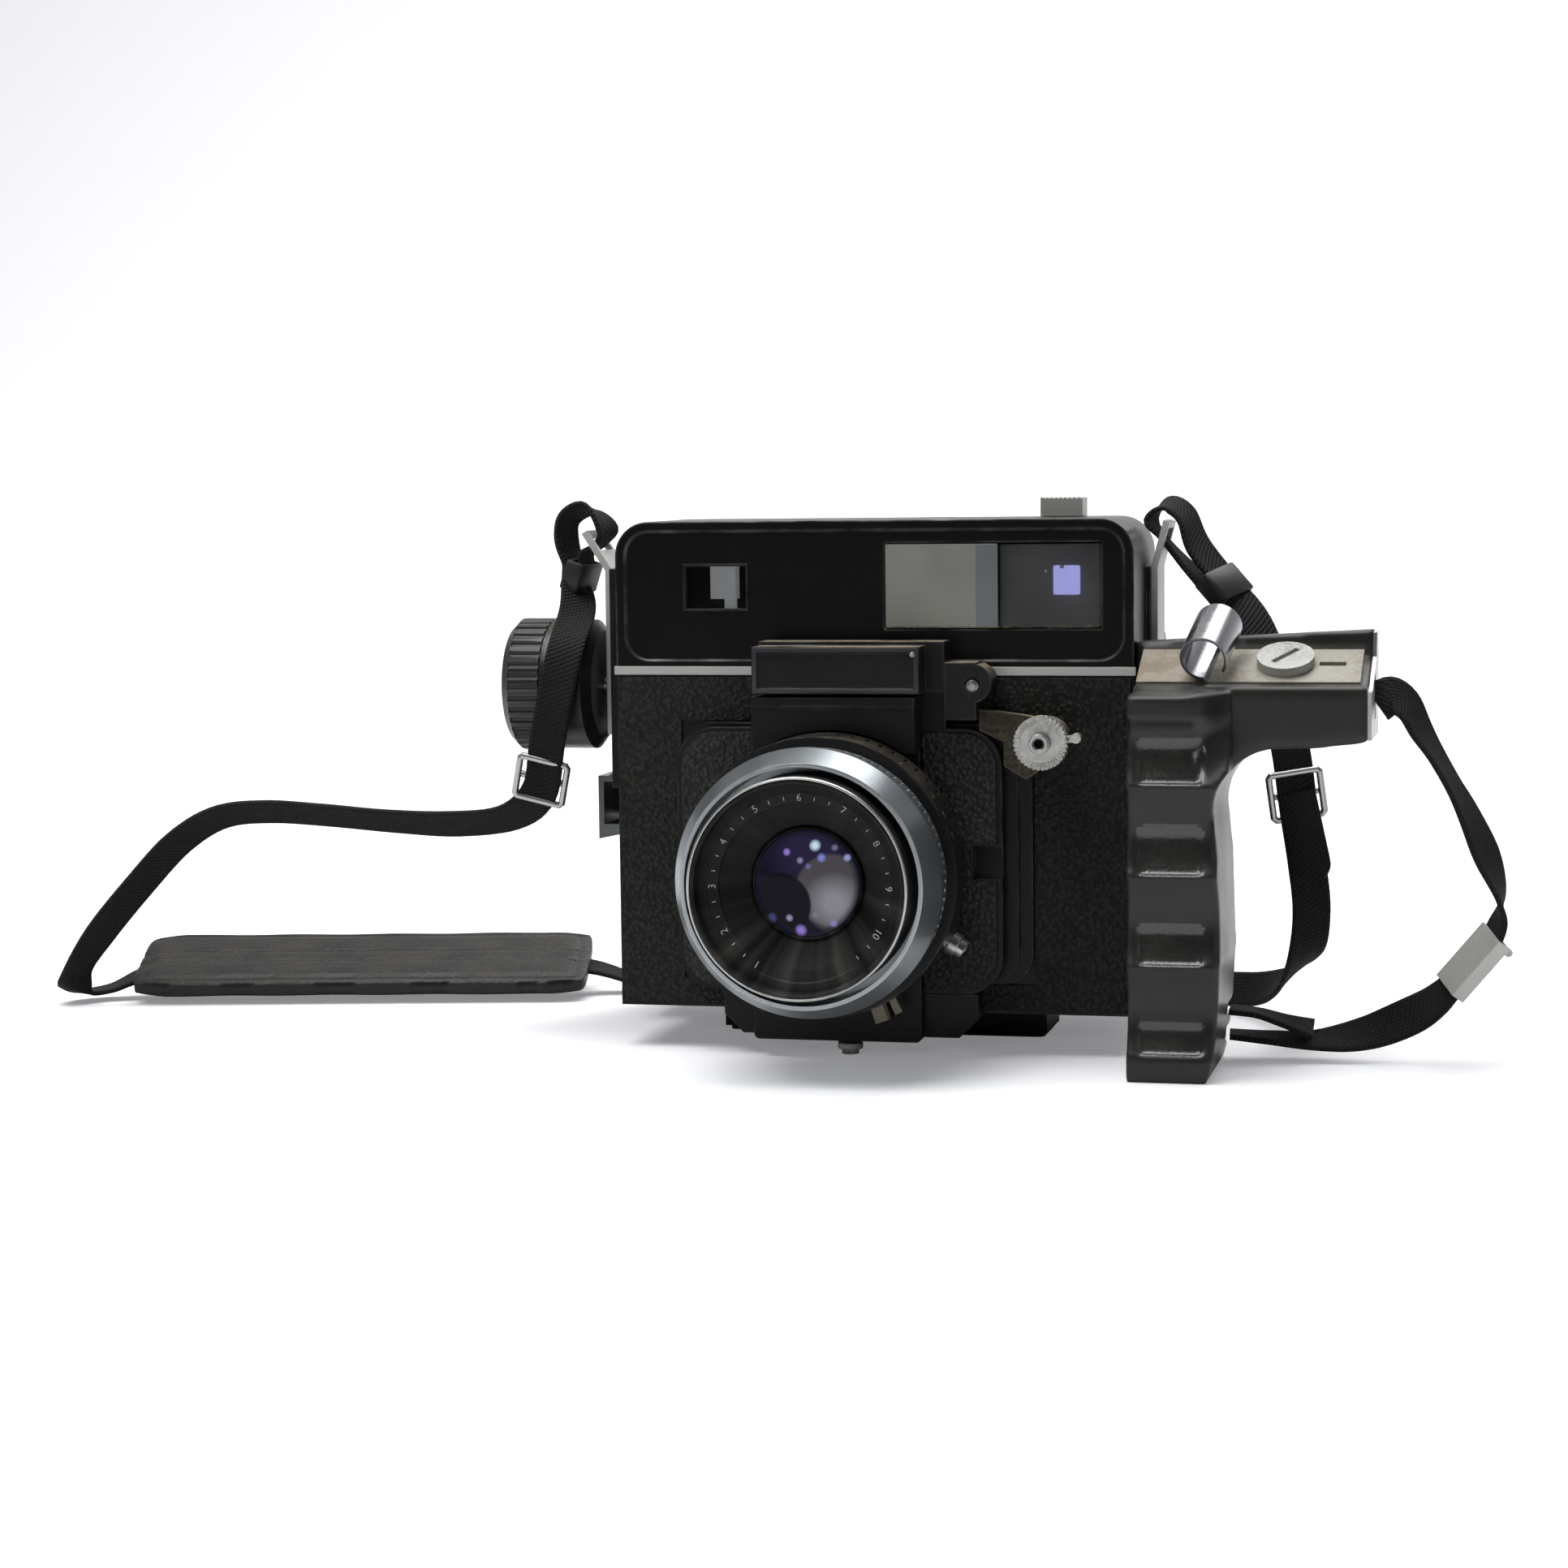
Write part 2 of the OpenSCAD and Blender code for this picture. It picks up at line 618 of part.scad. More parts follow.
// Arm that joins the linkage housing, the panel and the release cup
module release_bracket() color([0.08, 0.08, 0.075])
    difference() {
        union() {
            along_y([front_y - 6.4, front_y - 3.4]) polygon([
                [37, 85], [37, 90.5], [40, 90.3], [release_x - 7.4, 89.4], [release_x, release_z + 5.4],
                [release_x + 5, release_z - 2], [release_x + 2, release_z - 5.5], [release_x - 5.4, 72.6],
                [panel_w / 2 + 0.3, 76], [panel_w / 2 + 0.3, 82.2]]);
            translate([release_x, 0, release_z]) disc_y(6, [front_y - release_reach + 4.2, front_y - 3.4]);
        }
        translate([release_x, 0, release_z])
            disc_y(button_r + run_fit, [front_y - release_reach, front_y - 1]);
    }

module release_lock_ring() color([0.8, 0.8, 0.78])
    translate([release_x, 0, release_z]) difference() {
        union() {
            disc_y(release_d / 2, [front_y - release_reach, front_y - release_reach + 4]);
            rotate([0, -8, 0]) box([release_d / 2 - 1, release_d / 2 + 2.6],
                [front_y - release_reach + 0.8, front_y - release_reach + 2.6], [-0.9, 0.9]);
            rotate([0, -8, 0]) translate([release_d / 2 + 2.2, 0, 0])
                disc_y(1.3, [front_y - release_reach + 0.4, front_y - release_reach + 3]);
        }
        disc_y(button_r + run_fit, [front_y - release_reach - 1, front_y - release_reach + 5]);
        flutes_y(release_d / 2 + 0.1, [front_y - release_reach - 1, front_y - release_reach + 1.6], 36, 0.35);
    }

module release_button() color([0.82, 0.82, 0.8])
    translate([release_x, 0, release_z]) difference() {
        disc_y(button_r, [front_y - release_reach - 2.9, front_y - 2.4 - release_travel - 0.2]);
        disc_y(1.25, [front_y - release_reach - 4, front_y - release_reach + 4]);
    }

// Housing of the lens lock under the panel, with chamfered corners
module lower_housing() color([0.06, 0.06, 0.06])
    difference() {
        union() {
            along_y([front_y - lock_reach, front_y - 1.2]) polygon([
                [-31, panel_z0 - 0.1], [-31, 10.5], [-26, 5.5], [31.4, 5.5], [36.4, 10.5],
                [36.4, panel_z0 - 0.1]]);
            translate([lock_x, lock_y, 3.4]) cylinder(r = lock_r + 1, h = 3);
        }
        translate([lock_x, lock_y, 3]) cylinder(r = lock_r + run_fit, h = 7.3 + lock_travel);
    }

module lens_lock_pin() color([0.78, 0.78, 0.76])
    translate([lock_x, lock_y, 0.3]) cylinder(r = lock_r, h = 9.7);

// Mounting plate of the interchangeable lens, with its upper block
module lens_plate() color([0.055, 0.055, 0.055])
    difference() {
        union() {
            along_y([front_y - plate_reach, panel_front - 0.05])
                rounded([-lens_plate_w / 2, lens_plate_w / 2], [4.6, 84], 1.5);
            box([-20.4, 22.2], [front_y - block_reach, panel_front - 0.05], [80, 94.2]);
            box([-20.4, 22.2], [front_y - block_reach - 0.4, front_y - block_reach], [91.2, 92]);
        }
        on_axis() disc_y(17, [front_y - plate_reach - 1, panel_front + 1]);
        on_axis() disc_y(aperture_ring_d / 2 + 0.4, [front_y - lens_reach, front_y - plate_reach]);
    }

// Shutter housing, fixed to the plate, hollow for the leaves
module shutter_housing() color([0.06, 0.06, 0.06])
    on_axis() difference() {
        union() {
            disc_y(shutter_r, [front_y - aperture_reach0 + 0.2, front_y - plate_reach]);
            disc_y(core_r, [front_y - glass_reach + 4, front_y - plate_reach]);
        }
        disc_y(16, [front_y - lens_reach, front_y - plate_reach + 1]);
        disc_y(20.5, [front_y - 24.5, front_y - 19.5]);
    }

module aperture_ring() color([0.08, 0.08, 0.08])
    on_axis() difference() {
        ring_y(aperture_ring_d / 2, core_r + run_fit, [front_y - aperture_reach1, front_y - aperture_reach0]);
        flutes_y(aperture_ring_d / 2, [front_y - aperture_reach0 - 6, front_y - aperture_reach0 - 2],
            60, 0.4);
    }

module speed_ring() color([0.3, 0.33, 0.36])
    on_axis() difference() {
        turned([[core_r + run_fit, knurl_reach], [knurl_r, knurl_reach], [knurl_r, bevel_reach - 3],
            [speed_ring_d / 2, bevel_reach - 2.4], [speed_ring_d / 2, bevel_reach],
            [speed_rim_r, speed_rim_reach], [speed_rim_r - 1.1, speed_rim_reach],
            [speed_rim_r - 1.1, glass_reach - 3], [core_r + run_fit, glass_reach - 3]]);
        flutes_y(knurl_r, [front_y - bevel_reach + 3.6, front_y - knurl_reach - 1], 90, 0.35);
    }

// Front ring with the filter thread and the stepped funnel down to the glass
module front_ring() color([0.05, 0.05, 0.05])
    on_axis() turned([
        [glass_r - 0.6, glass_reach - 1.5], [glass_r - 0.6, glass_reach + 0.8],
        [glass_r + 0.6, glass_reach + 1.5], [20.5, lens_reach - 5.2], [23.5, lens_reach - 4.4],
        [filter_d / 2, lens_reach - 4],
        [filter_d / 2, lens_reach - 0.4], [filter_d / 2 + 0.6, lens_reach],
        [front_ring_d / 2, lens_reach], [front_ring_d / 2, glass_reach - 2.6], [21, glass_reach - 2.6],
        [20, glass_reach - 3.9], [glass_r + run_fit, glass_reach - 3.9],
        [glass_r + run_fit, glass_reach - 1.5]]);

module front_glass() color([0.35, 0.3, 0.55])
    on_axis() turned([
        [0, glass_reach - 3.4], [glass_r, glass_reach - 3.4], [glass_r, glass_reach - 1.6],
        for (i = [6:-1:0]) [(glass_r - 0.8) * i / 6, glass_reach - 1.5 + 2.3 * (1 - pow(i / 6, 2))]]);

module rear_group() color([0.09, 0.09, 0.1])
    on_axis() difference() {
        union() {
            disc_y(16.9, [front_y - plate_reach + 0.2, front_y + 8]);
            disc_y(15.9, [front_y - 19, front_y - plate_reach + 0.3]);
        }
        disc_y(11, [front_y - 20, front_y - 4]);
        disc_y(12.5, [front_y + 6.8, front_y + 9]);
    }

// Five iris leaves, stacked one behind the other, each on its own pin
module iris_leaves() color([0.16, 0.16, 0.17])
    for (i = [0:leaves - 1])
        on_axis() rotate([0, i * 360 / leaves, 0]) translate([0, front_y - 23.9 + i * leaf_step, 0])
            difference() {
                union() {
                    disc_y(18.2, [0, leaf_t]);
                    translate([leaf_pin_r, 0, 0]) disc_y(1.6, [0, leaf_t]);
                }
                disc_y(14.4, [-1, 2]);
                box([-30, 30], [-1, 2], [-30, -2.2]);
                box([-30, -2], [-1, 2], [-30, 30]);
            }

// Synchro terminal and the two small levers round the shutter
module sync_terminal() color([0.8, 0.8, 0.8])
    on_axis() translate([0, front_y - 14.8, 0]) rotate([0, 30.5, 0]) rotate([0, 90, 0]) difference() {
        union() {
            translate([0, 0, 33.1]) cylinder(r = 2.1, h = 3);
            translate([0, 0, 35.6]) cylinder(r = 3.3, h = 2.2);
            translate([0, 0, 37.8]) cylinder(r = 2.7, h = 2);
        }
        translate([0, 0, 36.6]) cylinder(r = 1.6, h = 4);
    }

module lever_tab(angle, w, r, reach0, reach1)
    on_axis() rotate([0, angle, 0])
        box([shutter_r + 0.3, r], [front_y - reach1, front_y - reach0], [-w / 2, w / 2]);

module cocking_lever() color([0.85, 0.82, 0.7])
    union() {
        lever_tab(71.5, 3.4, 41, 13, 16.6);
        on_axis() difference() {
            ring_y(34.6, shutter_r + run_fit, [front_y - 15, front_y - 13]);
            rotate([0, 71.5, 0]) box([-50, 32], [front_y - 20, front_y], [-50, 50]);
        }
    }

module delay_lever() color([0.85, 0.84, 0.78])
    union() {
        lever_tab(64, 1.8, 40.4, 16.9, 18.1);
        on_axis() difference() {
            ring_y(34.6, shutter_r + run_fit, [front_y - 18.1, front_y - 16.9]);
            rotate([0, 64, 0]) box([-50, 32], [front_y - 20, front_y], [-50, 50]);
        }
    }

// Film back
module film_back() color([0.06, 0.06, 0.06])
    difference() {
        along_y([fb_front, fb_back]) rounded([fb_left, fb_right], [fb_z0, fb_z1], 4);
        box([fb_left + fb_wall, fb_right - fb_wall], [fb_front + fb_wall, fb_back - fb_wall],
            [fb_z0 + fb_wall, fb_z1 - fb_wall]);
        box([-gate_w / 2, gate_w / 2], [fb_front - 1, fb_front + fb_wall + 1],
            [axis_z - gate_h / 2, axis_z + gate_h / 2]);
        box([fb_left - 1, fb_left + fb_wall + 1], [bar_y - 0.1, bar_y + bar_t + 0.1],
            [handle_z - 5.1, handle_z + 5.1]);
        translate([counter_x, 0, counter_z]) disc_y(3 + run_fit, [fb_back - fb_wall - 1, fb_back + 1]);
    }

module film_spool(x)
    translate([x, spool_y, spool_z0]) difference() {
        union() {
            cylinder(r = 5.5, h = spool_l);
            cylinder(r = spool_d / 2, h = 1.2);
            translate([0, 0, spool_l - 1.2]) cylinder(r = spool_d / 2, h = 1.2);
        }
        translate([0, 0, -1]) cylinder(r = 2 + run_fit, h = spool_l + 2);
    }

module supply_spool() color([0.12, 0.12, 0.12]) film_spool(spool_x);
module takeup_spool() color([0.12, 0.12, 0.12]) film_spool(-spool_x);

// Pressure plate with its two bow springs
module pressure_plate() color([0.1, 0.1, 0.1]) {
    pressure_springs();
    difference() {
        box([-33, 33], [film_y + 0.5, film_y + 2.5], [axis_z - gate_h / 2 - 3, axis_z + gate_h / 2 + 3]);
        for (i = [-2:2])
            box([-30, 30], [film_y + 1.9, film_y + 3], [axis_z + i * 11 - 0.6, axis_z + i * 11 + 0.6]);
    }
}

module pressure_springs()
    for (s = [-1, 1]) translate([s * 16, 0, axis_z]) rotate([90, 0, 90])
        linear_extrude(8, center = true) polygon([
            [film_y + 2.5, 14], [film_y + 2.9, 14], [carrier_y - 0.4, 0.3], [film_y + 2.9, -14],
            [film_y + 2.5, -14], [film_y + 2.5, -15], [film_y + 3.3, -15], [carrier_y, -0.3],
            [carrier_y, 0.3], [film_y + 3.3, 15], [film_y + 2.5, 15]]);

module film_carrier() color([0.5, 0.5, 0.48])
    union() {
        box([-32, 32], [carrier_y, carrier_y + 1.4], [spool_z0 - 1.9, spool_z0 + spool_l + 1.9]);
        box([-spool_x - 8, spool_x + 8], [carrier_y, carrier_y + 14],
            [fb_z0 + fb_wall + 0.05, spool_z0 - 0.4]);
        box([-spool_x - 8, spool_x + 8], [carrier_y, carrier_y + 14],
            [spool_z0 + spool_l + 0.4, spool_z0 + spool_l + 1.9]);
        for (x = [-spool_x, spool_x], z = [spool_z0 - 1, spool_z0 + spool_l - 5])
            translate([x, spool_y, z]) cylinder(r = 2, h = 6);
    }

// Film advance handle with the flat bar that it pulls out of the film back
module advance_handle() color([0.45, 0.46, 0.46]) {
    box([fb_left - 9, fb_left + advance_travel + 15], [bar_y, bar_y + bar_t], [handle_z - 5, handle_z + 5]);
    difference() {
        along_y([fb_front + 9, fb_back - 1]) polygon([
            [fb_left - 0.3, handle_z + handle_h / 2 + 3], [fb_left - 7, handle_z + handle_h / 2 - 1.6],
            [fb_left - 10, handle_z + handle_h / 2 - 1.6], [fb_left - 10, handle_z - handle_h / 2 - 1],
            [fb_left - 0.3, handle_z - handle_h / 2 + 1]]);
        box([fb_left - 8.4, fb_left + 1], [fb_front + 8, fb_back], [handle_z - 6, handle_z + 6]);
    }
}

module counter_dial() color([0.85, 0.85, 0.82])
    translate([counter_x, 0, counter_z]) union() {
        disc_y(8, [fb_back + 0.1, fb_back + 1.6]);
        disc_y(3, [fb_back - fb_wall - 0.4, fb_back + 0.2]);
    }

// Grip: the upright part has four finger scallops, and the arm reaches out over the hand
module finger_profile()
    difference() {
        translate([grip_front, 0]) square([grip_back - grip_front, arm_z - 2]);
        for (i = [0:3]) let (z0 = first_ridge + i * finger_pitch,
            r = (finger_pitch * finger_pitch / 4 + finger_dip * finger_dip) / (2 * finger_dip))
            translate([grip_front - r + finger_dip, z0 + finger_pitch / 2]) circle(r);
        // slope from the top ridge back to the arm
        polygon([[grip_front - 1, first_ridge + 3 * finger_pitch + 14], [arm_front, arm_z - 1],
            [grip_front - 1, arm_z]]);
    }

module grip_side()
    polygon(concat(
        [[grip_x0, 0], [grip_x1 - 1.2, 0], [grip_x1 + 0.6, 6.4], [grip_x1 + 2.2, 30],
         [grip_x1 + 1.4, 55], [grip_x1 + 0.2, arm_z - arm_t - hand_r]],
        [for (i = [0:8]) let (a = i * 90 / 8)
            [grip_x1 + 0.2 + hand_r * (1 - cos(a)), arm_z - arm_t - hand_r + hand_r * sin(a)]],
        [[arm_x1 - 14, arm_z - arm_t], [arm_x1, arm_z - arm_t + 1.6], [arm_x1, arm_z], [grip_x0, arm_z]]));

module grip_shell() color([0.05, 0.05, 0.05])
    difference() {
        union() {
            intersection() {
                along_x([grip_x0 - 2, grip_x1 + 4]) finger_profile();
                along_y([grip_front - 1, grip_back + 1]) grip_side();
            }
            along_y([arm_front, grip_back]) difference() {
                grip_side();
                translate([grip_x0 - 1, -1]) square([grip_w + 8, 60]);
            }
            // wall behind the accessory plate
            along_y([grip_back - arm_wall_t, grip_back]) polygon([
                [grip_x0 - 2, arm_z - 12], [arm_x1, arm_z - 12], [arm_x1, arm_z + 13],
                [grip_x0 - 2, arm_z + 10]]);
            // wedge that carries the accessory plate
            along_x([grip_x0, arm_x1]) polygon([
                [ledge_y - 3, arm_z - 1], [grip_back - arm_wall_t, arm_z - 1],
                [grip_back - arm_wall_t, plate_back_z - 0.1], [ledge_y, ledge_z]]);
            // seat against the body's side
            box([right_x, grip_x0 + 1], [front_y + 0.5, grip_back], [20, arm_z - 2]);
        }
        // sloping pocket of the accessory plate
        plate_frame() translate([grip_x0 - 3, 0, -plate_t]) cube([arm_reach + 10, plate_deep + 0.2, 40]);
        translate([coin_x, 0, 0]) plate_frame() translate([0, coin_y, -9]) cylinder(r = 2.6, h = 12);
        // slots of the hand strap
        box([arm_x1 - 3, arm_x1 + 1], [hand_y - 2, hand_y + 2], [88.6, 99.8]);
        box([grip_x1 - 3, grip_x1 + 3], [-39, -27.9], [4.6, 8.6]);
        box([grip_x1 - 3, grip_x1 + 3], [-39, -27.9], [11.4, 14.6]);
    }

module plate_frame() translate([0, ledge_y, ledge_z]) rotate([plate_tilt, 0, 0]) children();

module accessory_plate() color([0.75, 0.73, 0.66])
    plate_frame() difference() {
        translate([grip_x0 + 0.4, 0.1, -plate_t]) cube([arm_x1 - grip_x0 - 2.4, plate_deep - 0.1, plate_t]);
        translate([coin_x + 8.4, coin_y - 1, -plate_t - 1]) cube([6.5, 2, plate_t + 2]);
        translate([coin_x, coin_y, -plate_t - 1]) cylinder(r = 2.6 + run_fit, h = plate_t + 2);
    }

module coin_screw() color([0.8, 0.8, 0.76])
    translate([coin_x, 0, 0]) plate_frame() translate([0, coin_y, 0]) difference() {
        union() {
            translate([0, 0, 0.05]) cylinder(r = coin_d / 2, h = 2.4);
            translate([0, 0, -8]) cylinder(r = 2.55, h = 8.4);
        }
        rotate([0, 0, 50]) translate([-4.5, -0.75, 1.4]) cube([9, 1.5, 2]);
    }

// Sprung tube clip for an accessory, open along its side
module spring_clip() color([0.8, 0.8, 0.82])
    translate([clip_x, 0, 0]) plate_frame() translate([0, clip_y, clip_bore / 2 + clip_wall + clip_foot])
        rotate([0, 0, clip_turn]) rotate([90, 0, 0]) linear_extrude(clip_l, center = true) difference() {
            union() {
                circle(clip_bore / 2 + clip_wall);
                translate([-2.2, -clip_bore / 2 - clip_wall - clip_foot]) square([4.4, clip_foot + 0.6]);
            }
            circle(clip_bore / 2);
            rotate(-62) translate([0, -2.6]) square([20, 5.2]);
        }

module grip_end_cap() color([0.78, 0.78, 0.75])
    difference() {
        along_x([arm_x1, arm_x1 + 1]) polygon([
            [arm_front + 0.6, arm_z - arm_t + 2.2], [grip_back - 0.6, arm_z - arm_t + 2.2],
            [grip_back - 0.6, arm_z + 12.4], [grip_back - arm_wall_t, arm_z + 12.4],
            [grip_back - arm_wall_t - 1.6, arm_z + 6.2], [ledge_y, arm_z - 1.4],
            [arm_front + 0.6, arm_z - 1.4]]);
        box([arm_x1 - 1, arm_x1 + 2], [hand_y - 2, hand_y + 2], [88.6, 99.8]);
    }

// Webbing straps. Each row is a point on the middle line and the direction of the webbing's width.
neck_route = [
    [[-77.6, -4, 124], [0.1, 1, 0]], [[-78.8, -4, 129.6], [0.1, 1, 0]], [[-74.8, -4, 132.5], [0, 1, 0]],
    [[-72.6, -4, 136.8], [0.3, 0.93, 0]], [[-77.6, -4, 142.2], [0.2, 0.93, -0.3]],
    [[-83.2, -4, 139.8], [0.25, 0.93, -0.25]], [[-84.2, -4, 134], [0.35, 0.92, 0]],
    [[-81.8, -4.5, 125], [0.3, 1, 0]], [[-78.6, -13, 115.5], [0.8, 0.6, 0]],
    [[-78, -26.4, 106], [1, 0.1, 0]], [[-80.5, -28.4, 93.5], [1, 0, -0.1]],
    [[-83.8, -27, 79], [1, 0, -0.2]], [[-87.5, -23, 66], [1, 0.1, -0.3]],
    [[-98, -17, 58.5], [0.5, 0.6, -0.6]], [[-116, -12, 56], [0, 0.7, -0.7]],
    [[-136, -7, 56], [0, 0.75, -0.66]], [[-156, -3, 57], [0, 0.75, -0.66]],
    [[-175, 0, 57.5], [0, 0.75, -0.66]], [[-190.5, 2, 55.5], [0.1, 0.75, -0.6]],
    [[-204, 4, 48], [0.4, 0.75, -0.5]], [[-216, 4, 36], [0.5, 0.75, -0.4]],
    [[-228.5, 3, 21.5], [0.5, 0.75, -0.35]], [[-237, 4, 9.5], [0.4, 0.85, -0.2]],
    [[-238.5, 9, 3.4], [0.83, -0.35, 0]], [[-232, 16, 3.2], [0.5, -0.83, 0]],
    [[-221, 20, 7.4], [0.2, -0.95, -0.3]], [[-198, 27, 9.4], [0.25, -0.92, -0.3]],
    [[-160, 36, 9.4], [0.2, -0.93, -0.3]], [[-122, 44, 9.4], [0.2, -0.93, -0.3]],
    [[-96, 49, 8], [0.2, -0.95, -0.2]], [[-76, 53, 2.2], [0.1, -1, 0]], [[-50, 56, 1], [0, -1, 0]],
    [[-10, 58, 1], [0, -1, 0]], [[30, 58, 1], [-0.1, -1, 0]], [[66, 55, 3.4], [-0.3, -0.7, -0.5]],
    [[88, 46, 6], [-0.25, -0.35, -0.85]], [[102, 29, 9], [-0.35, -0.2, -0.85]],
    [[111, 10, 15], [-0.6, -0.15, -0.7]], [[117, -5, 24], [-0.9, -0.1, -0.4]],
    [[119, -12, 36], [-1, -0.2, -0.1]], [[118, -15, 49], [-1, -0.2, -0.15]],
    [[116, -18, 64], [-1, -0.2, -0.2]], [[114, -18.5, 79], [-1, -0.2, -0.25]],
    [[109.5, -14.5, 97], [-0.9, -0.4, -0.3]], [[103.8, -9, 111], [-0.8, -0.6, -0.3]],
    [[96.5, -5.5, 121.2], [-0.5, -0.9, -0.25]], [[88.9, -4.5, 130.8], [-0.4, -0.85, -0.35]],
    [[85.4, -4, 139.2], [-0.25, -0.88, -0.35]], [[80.4, -4, 142], [-0.2, -0.9, -0.3]],
    [[76.4, -4, 138], [-0.2, -0.95, -0.1]], [[79.5, -4, 133.2], [0, -1, 0]],
    [[86, -4.2, 125.8], [-0.1, -1, -0.1]], [[94, -5, 118.2], [-0.4, -0.9, -0.2]]];

hand_route = [
    [[137.4, -42.5, 92.4], [0, 0.1, 1]], [[141, -41.6, 94.4], [0, 0.4, 0.9]],
    [[145, -40.4, 91.8], [0.3, 0.7, 0.6]], [[148, -39.2, 86], [0.41, 0.88, 0.24]],
    [[151.6, -38, 79.8], [0.27, 0.95, 0.16]], [[156.1, -36.5, 71.5], [0.25, 0.96, 0.15]],
    [[159.9, -35, 63.9], [0.38, 0.9, 0.22]], [[163.9, -34, 54.7], [0.5, 0.81, 0.29]],
    [[166.6, -33, 47.8], [0.35, 0.92, 0.12]], [[167.9, -32.6, 42], [0.05, 1, 0]],
    [[167.3, -32.4, 36.6], [-0.35, 0.9, 0.15]], [[164.2, -32.4, 30.2], [-0.36, 0.88, 0.3]],
    [[157.8, -32.4, 22.6], [-0.36, 0.88, 0.3]], [[151.5, -32, 16], [-0.4, 0.66, 0.6]],
    [[144.1, -31.5, 11.4], [-0.3, 0.35, 0.88]], [[133.7, -31, 7.2], [-0.2, 0.7, 0.7]],
    [[121.4, -31, 5.2], [0, 0.93, 0.3]], [[110, -32.4, 5.8], [0, 1, 0.1]],
    [[99.9, -33.4, 6.6], [0, 1, 0]]];

tail_route = [
    [[99.9, -33.4, 13], [0, 1, 0]], [[107, -33, 12.2], [0, 1, 0]], [[114, -31.8, 10], [0, 1, 0.1]],
    [[121, -31, 8], [0, 0.93, 0.3]]];

function spline(p, i, u) =
    let (n = len(p), a = p[max(i - 1, 0)], b = p[i], c = p[min(i + 1, n - 1)], d = p[min(i + 2, n - 1)])
    0.5 * (2 * b + (c - a) * u + (2 * a - 5 * b + 4 * c - d) * u * u + (3 * b - a - 3 * c + d) * u * u * u);
function unit(v) = v / norm(v);
function column(route, k) = [for (row = route) row[k]];

// Flat tube of eight sides swept along a route
module webbing(route, w, t, steps)
    let (
        places = column(route, 0),
        widths = column(route, 1),
        n = len(route),
        at = concat([for (i = [0:n - 2], s = [0:steps - 1]) [i, s / steps]], [[n - 2, 1]]),
        p = [for (k = at) spline(places, k[0], k[1])],
        q = [for (k = at) unit(spline(widths, k[0], k[1]))],
        m = len(p),
        section = [[-0.5, -0.3], [-0.4, -0.5], [0.4, -0.5], [0.5, -0.3], [0.5, 0.3], [0.4, 0.5], [-0.4, 0.5],
            [-0.5, 0.3]],
        rings = [for (k = [0:m - 1])
            let (along = unit(p[min(k + 1, m - 1)] - p[max(k - 1, 0)]),
                side = unit(q[k] - along * (q[k] * along)),
                up = cross(along, side))
            each [for (s = section) p[k] + side * s[0] * w + up * s[1] * t]])
    polyhedron(rings, concat(
        [for (k = [1:6]) [k, k + 1, 0]],
        [for (k = [1:6], e = 8 * (m - 1)) [e + k + 1, e + k, e]],
        [for (i = [0:m - 2], k = [0:7]) let (a = 8 * i + k, b = 8 * i + (k + 1) % 8)
            each [[b + 8, b, a], [a + 8, b + 8, a]]]));

// The neck strap and the loose end of its webbing below the right buckle
module neck_strap() color([0.08, 0.08, 0.08]) {
    webbing(neck_route, web_w, web_t, 1);
    strap_tip();
}
module hand_strap() color([0.08, 0.08, 0.08]) {
    webbing(hand_route, web_w, web_t, 1);
    webbing(tail_route, web_w, web_t, 1);
}

// Places a piece on a strap: its x runs along the webbing's width and its z along the strap
module on_strap(place, along, side)
    let (z = unit(along), x = unit(side - z * (side * z)), y = cross(z, x))
    multmatrix([[x[0], y[0], z[0], place[0]], [x[1], y[1], z[1], place[1]], [x[2], y[2], z[2], place[2]]])
        children();

module keeper(l) difference() {
    translate([-web_w / 2 - 1.8, -3.2, -l / 2]) cube([web_w + 3.6, 6.4, l]);
    translate([-web_w / 2 - 0.4, -2.2, -l / 2 - 1]) cube([web_w + 0.8, 4.4, l + 2]);
}

module strap_buckle() difference() {
    translate([-web_w / 2 - 2.4, -1, -6]) cube([web_w + 4.8, 2, 12]);
    for (z = [-4.4, 0.8]) translate([-web_w / 2 - 0.6, -2, z]) cube([web_w + 1.2, 4, 3.6]);
}

module strap_fittings() color([0.5, 0.5, 0.48]) {
    on_strap([-80, -4.4, 124], [-3, 0.5, -9], [0.15, 1, 0]) keeper(8);
    on_strap([95.6, -5.2, 120.4], [8, -2, -9], [0.5, 0.9, 0.2]) keeper(9);
    on_strap([-86.4, -24.3, 69.4], [-3.4, 4, -12], [1, 0.1, -0.25]) strap_buckle();
    on_strap([115.6, -18.2, 67], [1.8, 2.6, -15], [1, 0.2, 0.2]) strap_buckle();
}

// Loose end of the webbing below the right buckle, with its rounded tip
module strap_tip()
    on_strap([117.6, -19.4, 58], [4.4, -0.6, -20], [1, 0.1, 0.2]) union() {
        translate([-web_w / 2, -web_t / 2, -10]) cube([web_w, web_t, 19]);
        translate([0, web_t / 2, 9]) rotate([90, 0, 0]) intersection() {
            cylinder(r = web_w / 2, h = web_t);
            translate([-web_w, 0, -1]) cube([2 * web_w, web_w, web_t + 2]);
        }
    }

// Shoulder pad, tilted, with the webbing running through it
module shoulder_pad() color([0.1, 0.1, 0.1])
    translate([-160, 35.4, 9.2]) rotate([0, 0, 11.5]) rotate([pad_tilt, 0, 0]) translate([0, 0, -pad_t / 2])
        linear_extrude(pad_t) rounded([-pad_l / 2, pad_l / 2], [-pad_w / 2, pad_w / 2], 7);

